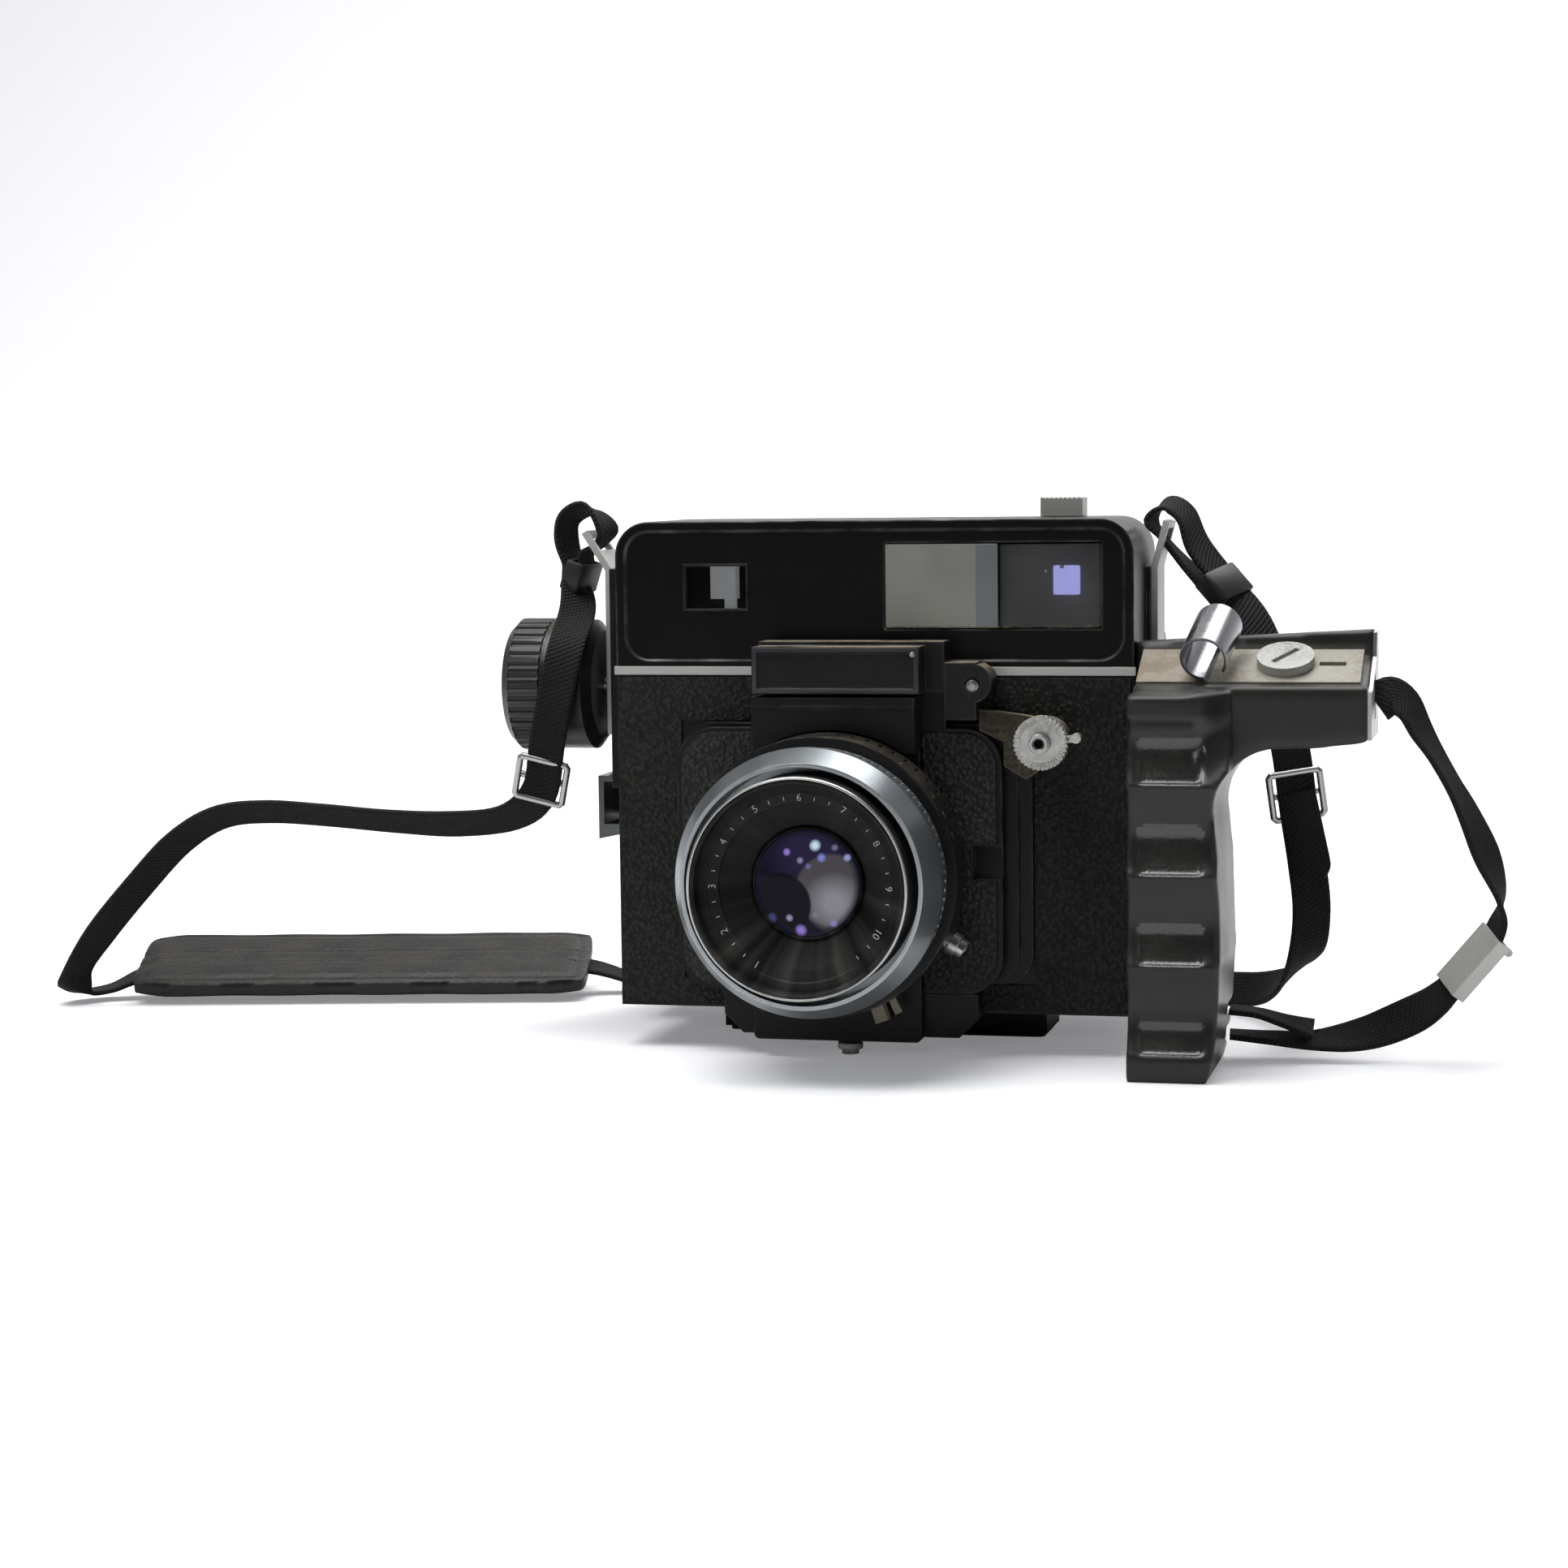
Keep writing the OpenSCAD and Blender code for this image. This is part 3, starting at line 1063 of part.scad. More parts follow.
// Hinged clasp of the hand strap
module clasp_frame() on_strap([161, -32.4, 26.4], [-10.6, 0, -12.7], [-0.36, 0.88, 0.3]) children();

module clasp_base() color([0.78, 0.78, 0.78])
    clasp_frame() difference() {
        union() {
            translate([-web_w / 2 - 1, -1.9, -clasp_l / 2]) cube([web_w + 2, 3.8, clasp_l]);
            for (x = [-web_w / 2 - 1, web_w / 2 - 0.4])
                translate([x, clasp_pin_y, clasp_pin_z]) rotate([0, 90, 0]) cylinder(r = 1.05, h = 1.4);
        }
        translate([-web_w / 2 - 0.2, -1.1, -clasp_l / 2 - 1]) cube([web_w + 0.4, 2.2, clasp_l + 2]);
        translate([0, clasp_pin_y, clasp_pin_z]) rotate([0, 90, 0])
            cylinder(r = 0.4 + run_fit, h = 20, center = true);
    }

// Cover of the clasp, with the pin that it turns on
module clasp_cover() color([0.82, 0.82, 0.82])
    clasp_frame() union() {
        translate([-web_w / 2 + 0.6, clasp_pin_y - 0.45, clasp_pin_z])
            cube([web_w - 1.2, 0.9, clasp_l / 2 - clasp_pin_z]);
        translate([0, clasp_pin_y, clasp_pin_z]) rotate([0, 90, 0])
            cylinder(r = 0.45, h = web_w - 1.2, center = true);
        translate([0, clasp_pin_y, clasp_pin_z]) rotate([0, 90, 0])
            cylinder(r = 0.4, h = web_w + 1.8, center = true);
    }

body_casting();
top_housing();
trim_strip();
front_covering();
standard_surround();
base_foot();
tripod_bush();
rangefinder_window();
frosted_window();
viewfinder_window();
beam_splitter();
eyepiece();
eyepiece_glass();
top_latch();
rangefinder_arm();
gear_case();
strap_lug_left();
strap_lug_right();
focus_knob();
focus_shaft();
focus_rack();
lens_standard();
standard_covering();
bellows();
nameplate_hood();
linkage_housing();
release_bracket();
release_lock_ring();
release_button();
lower_housing();
lens_lock_pin();
lens_plate();
shutter_housing();
aperture_ring();
speed_ring();
front_ring();
front_glass();
rear_group();
iris_leaves();
sync_terminal();
cocking_lever();
delay_lever();
film_back();
supply_spool();
takeup_spool();
pressure_plate();
film_carrier();
advance_handle();
counter_dial();
grip_shell();
accessory_plate();
coin_screw();
spring_clip();
grip_end_cap();
neck_strap();
hand_strap();
shoulder_pad();
strap_fittings();
clasp_base();
clasp_cover();
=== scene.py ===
"""Looks of the rangefinder camera: materials, straps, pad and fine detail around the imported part."""
import json
import math
import random

import bmesh
import bpy
from mathutils import Matrix, Vector


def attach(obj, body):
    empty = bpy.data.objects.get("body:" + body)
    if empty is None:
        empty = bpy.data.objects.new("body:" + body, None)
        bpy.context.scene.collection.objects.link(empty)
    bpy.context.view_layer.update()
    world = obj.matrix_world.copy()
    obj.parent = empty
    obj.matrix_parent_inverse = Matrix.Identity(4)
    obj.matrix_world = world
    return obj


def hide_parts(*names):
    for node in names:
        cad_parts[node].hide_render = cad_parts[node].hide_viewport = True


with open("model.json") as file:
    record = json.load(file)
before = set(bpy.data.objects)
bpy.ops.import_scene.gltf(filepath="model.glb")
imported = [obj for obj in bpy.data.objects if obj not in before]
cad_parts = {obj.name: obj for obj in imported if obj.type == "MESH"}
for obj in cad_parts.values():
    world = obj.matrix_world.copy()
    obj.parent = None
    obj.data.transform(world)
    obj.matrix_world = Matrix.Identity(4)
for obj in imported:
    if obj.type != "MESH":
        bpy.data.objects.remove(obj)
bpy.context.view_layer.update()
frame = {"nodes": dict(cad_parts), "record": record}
nodes = frame["nodes"]
# Materials by name
finishes = {}
MM = 0.001

# Places on the camera in mm: the lens axis, the body's front face, the seam under the top housing,
# the heights between which the long window is filled, and the middle of the release button
AXIS_Z = 49.6
FRONT_Y = -37.0
SEAM_Z = 100.5
LONG_WINDOW_Z = (111.3, 132.5)
RELEASE_X, RELEASE_Z = 54.4, 82.8
# Width and thickness of the straps' webbing, in mm
WEB_WIDTH, WEB_THICK = 10, 1.5
# Side of the square picture and focal length, in pixels, and width of the sensor in mm
PICTURE_SIDE = 1932
FOCAL_PIXELS = 4217.8
SENSOR_WIDTH = 36


def linked(name, data):
    """A new object in the scene. Its data takes the same name."""
    data.name = name
    thing = bpy.data.objects.new(name, data)
    bpy.context.scene.collection.objects.link(thing)
    return thing


# Camera, lights and stage

def place_camera():
    """The camera, with its turns in radians and its place in metres."""
    yaw, pitch, roll = 0.232, 0.092, -0.012
    ahead = Vector((-math.sin(yaw) * math.cos(pitch), math.cos(yaw) * math.cos(pitch), -math.sin(pitch)))
    right = Vector((math.cos(yaw), math.sin(yaw), 0))
    up = right.cross(ahead)
    across = math.cos(roll) * right + math.sin(roll) * up
    upward = -math.sin(roll) * right + math.cos(roll) * up
    turn = Matrix((across, upward, -ahead)).transposed().to_4x4()
    turn.translation = Vector((0.18914, -0.90539, 0.15263))
    data = bpy.data.cameras.new("camera")
    data.sensor_width = SENSOR_WIDTH
    data.lens = SENSOR_WIDTH * FOCAL_PIXELS / PICTURE_SIDE
    data.clip_start = 0.01
    camera = linked("camera", data)
    camera.matrix_world = turn
    bpy.context.scene.camera = camera


def soft_light(name, place, target, size, power, mirrored=True):
    """A light panel. mirrored says whether it shows in reflections."""
    data = bpy.data.lights.new(name, "AREA")
    data.shape = "RECTANGLE"
    data.size, data.size_y = size
    data.energy = power
    light = linked(name, data)
    light.location = place
    light.visible_glossy = mirrored
    light.rotation_euler = (Vector(target) - Vector(place)).to_track_quat("-Z", "Y").to_euler()


def build_stage():
    world = bpy.data.worlds.new("world")
    world.use_nodes = True
    tree = world.node_tree
    sky = tree.nodes["Background"]
    # the room is dim in front of the object and bright behind it, and straight to the camera it is white
    depth = axes(tree, shader_node(tree, "TexCoord").outputs["Generated"])[1]
    room = mixed(tree, ramp(tree, depth, -0.5, 0.5), (0.06, 0.063, 0.07), (0.8, 0.83, 0.88))
    view_ray = shader_node(tree, "LightPath").outputs["Is Camera Ray"]
    feed(mixed(tree, view_ray, room, (2.4, 2.4, 2.4)), sky.inputs["Color"])
    sky.inputs["Strength"].default_value = 0.42
    bpy.context.scene.world = world
    # floor that curves up into the backdrop, in metres
    half_width, front, bend_start, bend, top = 3, -2.5, 0.9, 0.6, 3
    profile = [(front, 0), (bend_start, 0)]
    for i in range(1, 13):
        a = i * math.pi / 24
        profile.append((bend_start + bend * math.sin(a), bend - bend * math.cos(a)))
    profile.append((bend_start + bend, top))
    points = [(x, y, z) for y, z in profile for x in (-half_width, half_width)]
    faces = [(2 * i, 2 * i + 1, 2 * i + 3, 2 * i + 2) for i in range(len(profile) - 1)]
    mesh = new_mesh(points, faces)
    mesh.polygons.foreach_set("use_smooth", [True] * len(faces))
    floor = linked("stage_floor", mesh)
    tree, shade = new_finish("stage_cloth")
    seen = shader_node(tree, "LightPath")
    # the floor is white to the camera and in reflections, and bounces less light onto the object
    color = mixed(tree, seen.outputs["Is Diffuse Ray"], (0.92, 0.92, 0.93), (0.34, 0.34, 0.35))
    glow = times(tree, seen.outputs["Is Camera Ray"], 0.22)
    dress(shade, {"Base Color": color, "Roughness": 0.85, "Emission Color": (0.96, 0.97, 1),
                  "Emission Strength": glow})
    mesh.materials.append(finishes["stage_cloth"])
    soft_light("key", (-0.6, -0.35, 1.6), (0, 0, 0.05), (1.3, 1.0), 21)
    soft_light("back_wash", (0.3, 0.75, 1.7), (0, 0.9, 0.3), (2.4, 0.8), 34)
    soft_light("front_strip", (-0.35, -1.7, 0.55), (0, 0, 0.06), (0.9, 0.16), 2.6, mirrored=False)
    soft_light("right_front", (1.2, -1.0, 0.7), (0.05, 0, 0.06), (0.3, 0.6), 1.5)


# Materials

def new_finish(name):
    """Start a finish. Returns its node tree and its main shader."""
    finishes[name] = bpy.data.materials.new(name)
    finishes[name].use_nodes = True
    tree = finishes[name].node_tree
    return tree, tree.nodes["Principled BSDF"]


def feed(value, socket):
    """Give a socket another socket's output, a number or a colour."""
    if hasattr(value, "links"):
        socket.id_data.links.new(value, socket)
    elif isinstance(value, tuple):
        socket.default_value = (*value, 1)
    else:
        socket.default_value = value


def dress(node, values):
    """Feed several inputs of a node by their names."""
    for key, value in values.items():
        feed(value, node.inputs[key])


def shader_node(tree, kind, **values):
    """A shader node. Each value is an input's or, failing that, one of the node's own settings."""
    node = tree.nodes.new("ShaderNode" + kind)
    for key, value in values.items():
        if key in node.inputs:
            node.inputs[key].default_value = value
        else:
            setattr(node, key, value)
    return node


def axes(tree, vector):
    """The x, y and z outputs of a vector."""
    parts = shader_node(tree, "SeparateXYZ")
    feed(vector, parts.inputs[0])
    return parts.outputs


def mixed(tree, factor, a, b):
    """A colour mix of two colours or sockets."""
    node = shader_node(tree, "Mix", data_type="RGBA")
    feed(factor, node.inputs[0])
    feed(a, node.inputs[6])
    feed(b, node.inputs[7])
    return node.outputs[2]


def math_node(tree, operation, a, b=0.0, clamp=False):
    node = shader_node(tree, "Math", operation=operation, use_clamp=clamp)
    feed(a, node.inputs[0])
    feed(b, node.inputs[1])
    return node.outputs[0]


def plus(tree, a, b, clamp=False):
    return math_node(tree, "ADD", a, b, clamp)


def times(tree, a, b, clamp=False):
    return math_node(tree, "MULTIPLY", a, b, clamp)


def ramp(tree, value, low, high):
    """0 to 1 as the value goes from low to high."""
    node = shader_node(tree, "MapRange", clamp=True)
    node.inputs[1].default_value = low
    node.inputs[2].default_value = high
    feed(value, node.inputs[0])
    return node.outputs[0]


def noise(tree, where, scale, detail=3.0):
    node = shader_node(tree, "TexNoise", Scale=scale, Detail=detail)
    feed(where, node.inputs["Vector"])
    return node.outputs["Fac"]


def bump(tree, shade, height, strength, depth, normal=None):
    """Relief on a shader, with its depth in mm."""
    node = shader_node(tree, "Bump", Strength=strength, Distance=depth * MM)
    feed(height, node.inputs["Height"])
    if normal is not None:
        feed(normal, node.inputs["Normal"])
    feed(node.outputs[0], shade.inputs["Normal"])


def eased_normal(tree, radius):
    """The surface's normal with its edges rounded by a radius in mm."""
    return shader_node(tree, "Bevel", samples=4, Radius=radius * MM).outputs[0]


def pebbled(tree, where):
    """Height of pebbled leather: cells 1 to 1.5 mm across with creases between them."""
    cells = shader_node(tree, "TexVoronoi", feature="SMOOTH_F1")
    cells.inputs["Scale"].default_value = 850
    cells.inputs["Smoothness"].default_value = 0.6
    feed(where, cells.inputs["Vector"])
    small = noise(tree, where, 2200)
    return math_node(tree, "SUBTRACT", times(tree, small, 0.5), cells.outputs["Distance"])


def woven(tree, uv):
    """Height of ribbed webbing from its UV map, which is in metres: across and along."""
    rib, thread, slope = 0.0013, 0.0009, 0.6
    across, along = axes(tree, uv)[:2]
    slant = plus(tree, along, times(tree, across, slope))
    ribs = math_node(tree, "ABSOLUTE", math_node(tree, "SINE", times(tree, slant, math.pi / rib)))
    threads = math_node(tree, "ABSOLUTE", math_node(tree, "SINE", times(tree, across, math.pi / thread)))
    return plus(tree, times(tree, ribs, 0.6), times(tree, threads, 0.4))


def moulded(tree, where):
    return noise(tree, where, 1500, 2.0)


def brushed(tree, where):
    stretch = shader_node(tree, "Mapping")
    stretch.inputs["Scale"].default_value = (1, 0.06, 1)
    feed(where, stretch.inputs["Vector"])
    return noise(tree, stretch.outputs[0], 5000, 2.0)


def surface(name, color, rough, metal=0.0, spread=0.2, height=None, depth=0.1, dust=0.0,
            dust_color=(0.2, 0.165, 0.11), wear_and_sheen=0.0, wear_and_sheen_color=(0.6, 0.57, 0.5), edge=0.3, coat=0.0,
            uv=False, speck=0.25, shine=0.5, grime_and_shade=None, crease_shade=None):
    """A procedural finish with mottled colour, uneven gloss, grain and rounded edges.

    Dust lies on top faces and, by speck, in specks on the others. Wear bares edges, and its light colour on
    them is partly a painted edge highlight.
    Relief is the range of grain heights over which painted shade darkens the creases, up to the full colour.
    The grain's depth and the radius of the edges are in mm.
    """
    tree, shade = new_finish(name)
    where = shader_node(tree, "TexCoord")
    place = where.outputs["Object"]
    normal = shader_node(tree, "NewGeometry").outputs["Normal"]
    mottle = noise(tree, place, 70, 5.0)
    fine = noise(tree, place, 900, 3.0)
    dark = tuple(c * (1 - spread) for c in color)
    light = tuple(min(1, c * (1 + spread)) for c in color)
    tint = mixed(tree, mottle, dark, light)
    metallic = metal
    gloss = plus(tree, rough - 0.06, times(tree, mottle, 0.12), clamp=True)
    grain = height(tree, where.outputs["UV"] if uv else place) if height else fine
    # painted shade: the creases of the grain are darkened in the colour
    if crease_shade:
        tint = mixed(tree, ramp(tree, grain, *crease_shade), tuple(0.25 * c for c in color), tint)
    # worn edges: partly real wear, partly a painted highlight that lightens every edge
    if wear_and_sheen:
        facing = shader_node(tree, "VectorMath", operation="DOT_PRODUCT")
        feed(eased_normal(tree, 1.1), facing.inputs[0])
        feed(normal, facing.inputs[1])
        turned_away = math_node(tree, "SUBTRACT", 1.0, facing.outputs["Value"])
        patchy = ramp(tree, noise(tree, place, 120, 5.0), 0.6 - 0.45 * wear_and_sheen, 0.8)
        worn_and_sheen = times(tree, ramp(tree, turned_away, 0.04, 0.22), patchy)
        tint = mixed(tree, worn_and_sheen, tint, wear_and_sheen_color)
        metallic = math_node(tree, "MAXIMUM", metal, times(tree, worn_and_sheen, 0.8))
    if dust:
        upward = ramp(tree, axes(tree, normal)[2], 0.35, 0.95)
        patches = times(tree, ramp(tree, mottle, 0.3, 0.65), dust)
        film = times(tree, plus(tree, upward, 0.1 * speck), patches, clamp=True)
        film = times(tree, film, ramp(tree, fine, 0.25, 0.6))
        tint = mixed(tree, film, tint, dust_color)
        gloss = plus(tree, gloss, times(tree, film, 0.5), clamp=True)
    # the grime mask darkens towards the dust colour: dirt, and on the plate painted shade too
    if grime_and_shade:
        tint = mixed(tree, grime_and_shade(tree), tint, dust_color)
    dress(shade, {"Base Color": tint, "Metallic": metallic, "Roughness": gloss, "Specular IOR Level": shine,
                  "Coat Weight": coat, "Coat Roughness": 0.12})
    bump(tree, shade, grain, 1.0 if height else 0.15, depth, eased_normal(tree, edge))


def plate_grime_and_shade(tree):
    """Brown on the accessory plate: dense at its left end, where it is partly dirt and partly painted shade,
    and dirt in patches along it.
    """
    place = shader_node(tree, "NewGeometry").outputs["Position"]
    # painted shade: darker towards the left end of the plate
    left = ramp(tree, axes(tree, place)[0], 0.108, 0.083)
    patch = ramp(tree, noise(tree, place, 130, 6.0), 0.42, 0.66)
    return times(tree, plus(tree, times(tree, left, 1.4), 0.2), plus(tree, times(tree, patch, 0.6), 0.4),
                 clamp=True)


def clear_glass(name, tint, rough=0.02, opacity=0.0, glow=None, strength=0.0):
    """Smooth glass, or at full opacity a smooth block. glow is the colour of its own weak light, a painted
    glow.
    """
    tree, shade = new_finish(name)
    smear = noise(tree, shader_node(tree, "TexCoord").outputs["Object"], 160, 4.0)
    dress(shade, {"Roughness": plus(tree, rough, times(tree, smear, 0.05)),
                  "Base Color": mixed(tree, smear, tuple(0.92 * c for c in tint), tint),
                  "Transmission Weight": 1 - opacity, "IOR": 1.5})
    if glow:
        dress(shade, {"Emission Color": glow, "Emission Strength": strength})


# Painted lamp reflections, which glow on the front glass: x, z and radius in mm from its middle, and colour
PAINTED_REFLECTIONS = [
    (2.3, 9.7, 1.6, (0.6, 0.76, 0.95)), (-4.9, 8, 1.1, (0.3, 0.2, 0.62)), (4, 6.7, 1.3, (0.2, 0.24, 0.62)),
    (-1.4, 6, 1, (0.24, 0.23, 0.4)), (0.7, 4.6, 0.9, (0.16, 0.14, 0.32)),
    (10.3, 6.7, 1.1, (0.3, 0.35, 0.65)), (7.2, 9.2, 1, (0.16, 0.15, 0.26)),
    (-1.6, -11.6, 1.7, (0.28, 0.18, 0.6)), (-4.4, -8.5, 1.1, (0.3, 0.27, 0.42)),
    (6.7, -9.7, 1.2, (0.26, 0.2, 0.45)), (-9, -8.6, 1.5, (0.05, 0.06, 0.16)),
    (2.3, -7.6, 1, (0.2, 0.18, 0.28)),
]


def lens_front(name):
    """The coated front glass: dark violet, glowing with painted lamp reflections and a painted gray
    reflection at the lower right.
    """
    tree, shade = new_finish(name)
    centred = shader_node(tree, "VectorMath", operation="SUBTRACT")
    centred.inputs[1].default_value = (0, 0, AXIS_Z * MM)
    feed(shader_node(tree, "TexCoord").outputs["Object"], centred.inputs[0])
    flat = shader_node(tree, "VectorMath", operation="MULTIPLY")
    flat.inputs[1].default_value = (1, 0, 1)
    feed(centred.outputs[0], flat.inputs[0])

    def near(x, z, inner, outer):
        gap = shader_node(tree, "VectorMath", operation="DISTANCE")
        gap.inputs[1].default_value = (x * MM, 0, z * MM)
        feed(flat.outputs[0], gap.inputs[0])
        return ramp(tree, gap.outputs["Value"], outer * MM, inner * MM)

    # painted reflections: the glow is lighter violet above, with a gray ring and a gray patch at the lower
    # right, and darker at the lower left
    tint = mixed(tree, near(1, 9, 5, 14), (0.006, 0.005, 0.011), (0.021, 0.017, 0.045))
    tint = mixed(tree, near(6.5, -1.5, 8.6, 9.4), tint, (0.07, 0.066, 0.07))
    tint = mixed(tree, near(7, -4.6, 2, 8), tint, (0.24, 0.24, 0.27))
    tint = mixed(tree, near(-6.4, -5, 7.4, 8), tint, (0.005, 0.004, 0.006))
    tint = mixed(tree, near(0, 0, 11.6, 13.2), (0.01, 0.009, 0.02), tint)
    # painted highlights: small glowing spots for reflected lamps
    for x, z, radius, reflection_color in PAINTED_REFLECTIONS:
        tint = mixed(tree, near(x, z, 0.35 * radius, radius), tint, reflection_color)
    base = mixed(tree, noise(tree, flat.outputs[0], 90), (0.004, 0.003, 0.008), (0.008, 0.006, 0.016))
    dress(shade, {"Base Color": base, "Roughness": 0.05, "Specular IOR Level": 0.06,
                  "Emission Color": tint, "Emission Strength": 0.9})


def streaked_funnel(name):
    """Dull black of the funnel round the front glass, with painted light: soft rays that are brighter below
    its axis.
    """
    tree, shade = new_finish(name)
    place = shader_node(tree, "TexCoord").outputs["Object"]
    x, _, z = axes(tree, place)
    rise = math_node(tree, "SUBTRACT", z, AXIS_Z * MM)
    angle = shader_node(tree, "CombineXYZ")
    feed(math_node(tree, "ARCTAN2", x, rise), angle.inputs[0])
    # painted light: soft rays in the base colour, brighter below the axis
    painted_rays = ramp(tree, noise(tree, angle.outputs[0], 3.2, 2.0), 0.42, 0.75)
    lit_below = ramp(tree, rise, 0.002, -0.014)
    glow = times(tree, painted_rays, plus(tree, times(tree, lit_below, 0.8), 0.2))
    dress(shade, {"Base Color": mixed(tree, glow, (0.007, 0.007, 0.007), (0.1, 0.098, 0.09)),
                  "Roughness": 0.5, "Specular IOR Level": 0.2})
    bump(tree, shade, noise(tree, place, 900), 0.3, 0.03)


# Nodes whose look differs from that of their material slot
NODE_FINISH = {
    "nameplate_hood": "hood_black", "linkage_housing": "hood_black", "release_bracket": "dusty_black",
    "gear_case": "black_casting", "standard_covering": "light_leatherette", "top_latch": "bright_silver",
    "strap_lug_left": "bright_silver", "strap_lug_right": "bright_silver", "trim_strip": "bright_silver",
    "clasp_base": "bright_silver", "clasp_cover": "bright_silver", "coin_screw": "coin_silver",
    "spring_clip": "clip_chrome", "release_lock_ring": "mottled_nickel", "beam_splitter": "half_mirror",
    "viewfinder_window": "smoked_glass", "rangefinder_arm": "window_block_painted_glow",
}


def build_finishes():
    surface("black_casting", (0.012, 0.012, 0.0125), 0.36, spread=0.3, dust=0.3, wear_and_sheen=0.4,
            wear_and_sheen_color=(0.12, 0.12, 0.11), height=moulded, depth=0.02, shine=0.18)
    surface("black_housing", (0.006, 0.006, 0.0065), 0.3, dust=0.15, wear_and_sheen=0.7, wear_and_sheen_color=(0.3, 0.3, 0.28),
            edge=0.7, height=moulded, depth=0.008, shine=0.12)
    surface("hood_black", (0.012, 0.012, 0.0125), 0.38, dust=2.2, wear_and_sheen=0.7, wear_and_sheen_color=(0.12, 0.125, 0.13),
            dust_color=(0.3, 0.245, 0.165), edge=0.5, height=moulded, depth=0.02, shine=0.2, speck=0.1)
    surface("dusty_black", (0.013, 0.012, 0.011), 0.42, dust=1.6, wear_and_sheen=0.6, dust_color=(0.34, 0.28, 0.19),
            wear_and_sheen_color=(0.3, 0.25, 0.17), height=moulded, depth=0.02, shine=0.25, speck=2.6)
    for name, color, shine in (("leatherette", (0.028, 0.0275, 0.025), 0.22),
                               ("light_leatherette", (0.045, 0.045, 0.042), 0.3)):
        surface(name, color, 0.48, spread=0.35, dust=0.4, dust_color=(0.1, 0.095, 0.075), speck=2,
                height=pebbled, depth=0.5, shine=shine, crease_shade=(-0.32, 0.0))
    surface("coin_silver", (0.4, 0.4, 0.38), 0.42, metal=0.35, spread=0.2, dust=0.6,
            dust_color=(0.15, 0.14, 0.11), height=brushed, depth=0.006, shine=0.5)
    surface("satin_chrome", (0.5, 0.5, 0.49), 0.28, metal=1.0, spread=0.12, dust=0.3, height=moulded,
            depth=0.006, wear_and_sheen=0.2, wear_and_sheen_color=(0.6, 0.56, 0.46))
    surface("bright_silver", (0.6, 0.6, 0.57), 0.42, metal=0.35, spread=0.15, dust=0.4, height=brushed,
            depth=0.006, shine=0.5)
    surface("hood_border", (0.05, 0.053, 0.058), 0.34, spread=0.3, shine=0.3)
    surface("clip_chrome", (0.44, 0.44, 0.47), 0.2, metal=1.0, spread=0.2, dust=0.3, height=brushed,
            depth=0.008)
    surface("mottled_nickel", (0.68, 0.68, 0.64), 0.32, metal=0.8, spread=0.3, dust=1.2,
            dust_color=(0.13, 0.12, 0.09), speck=4.5, height=moulded, depth=0.06)
    surface("steel", (0.42, 0.42, 0.41), 0.36, metal=1.0, spread=0.15, height=brushed, depth=0.01)
    surface("brass", (0.7, 0.5, 0.22), 0.3, metal=1.0)
    surface("knob_black", (0.02, 0.02, 0.0205), 0.34, dust=0.4, wear_and_sheen=0.8, wear_and_sheen_color=(0.22, 0.22, 0.215),
            edge=0.4, shine=0.4)
    surface("lens_black", (0.01, 0.01, 0.011), 0.32, dust=0.3, wear_and_sheen=0.3, wear_and_sheen_color=(0.2, 0.19, 0.17),
            edge=0.25, shine=0.22)
    streaked_funnel("lens_inside")
    surface("blue_gray_metal", (0.37, 0.4, 0.42), 0.3, metal=0.85, spread=0.15, dust=0.15, wear_and_sheen=0.1,
            edge=0.2, height=brushed, depth=0.006)
    surface("bellows_cloth", (0.012, 0.012, 0.012), 0.8, height=pebbled, depth=0.1)
    surface("grip_plastic", (0.026, 0.026, 0.024), 0.3, spread=0.35, dust=0.3,
            dust_color=(0.1, 0.09, 0.07), edge=1.2, height=moulded, depth=0.01, shine=0.35, speck=1.5)
    surface("grip_gloss", (0.03, 0.03, 0.028), 0.2, spread=0.5, dust=0.4, speck=3,
            dust_color=(0.14, 0.13, 0.11), height=moulded, depth=0.08, coat=0.5)
    surface("cream_paint", (0.36, 0.345, 0.295), 0.45, dust=0.5, dust_color=(0.19, 0.15, 0.095), wear_and_sheen=0.3,
            wear_and_sheen_color=(0.25, 0.21, 0.15), speck=2, grime_and_shade=plate_grime_and_shade)
    surface("end_cap_metal", (0.56, 0.56, 0.55), 0.32, metal=0.9, height=brushed, depth=0.01, dust=0.2)
    surface("webbing", (0.022, 0.022, 0.021), 0.75, spread=0.3, height=woven, depth=0.4, uv=True, edge=0.1,
            shine=0.15, crease_shade=(0.1, 0.55))
    surface("pad_vinyl", (0.011, 0.0108, 0.01), 0.45, spread=0.3, height=pebbled, depth=0.12, dust=0.1,
            edge=0.5, shine=0.3)
    surface("keeper_plastic", (0.02, 0.02, 0.021), 0.45, shine=0.4, edge=0.5)
    surface("spool_plastic", (0.012, 0.012, 0.012), 0.55)
    surface("carrier_metal", (0.25, 0.25, 0.24), 0.4, metal=0.8)
    surface("ivory_plastic", (0.5, 0.45, 0.32), 0.45, dust=0.6)
    surface("leaf_steel", (0.05, 0.05, 0.055), 0.35, metal=0.9)
    surface("handle_gray", (0.2, 0.215, 0.215), 0.42, metal=0.3, dust=0.3, wear_and_sheen=0.3)
    lens_front("coated_glass")
    clear_glass("window_glass", (0.8, 0.8, 0.8))
    clear_glass("smoked_glass", (0.66, 0.66, 0.66))
    surface("frosted_glass", (0.3, 0.305, 0.28), 0.4, spread=0.25, dust=0.3, speck=3,
            dust_color=(0.36, 0.35, 0.29))
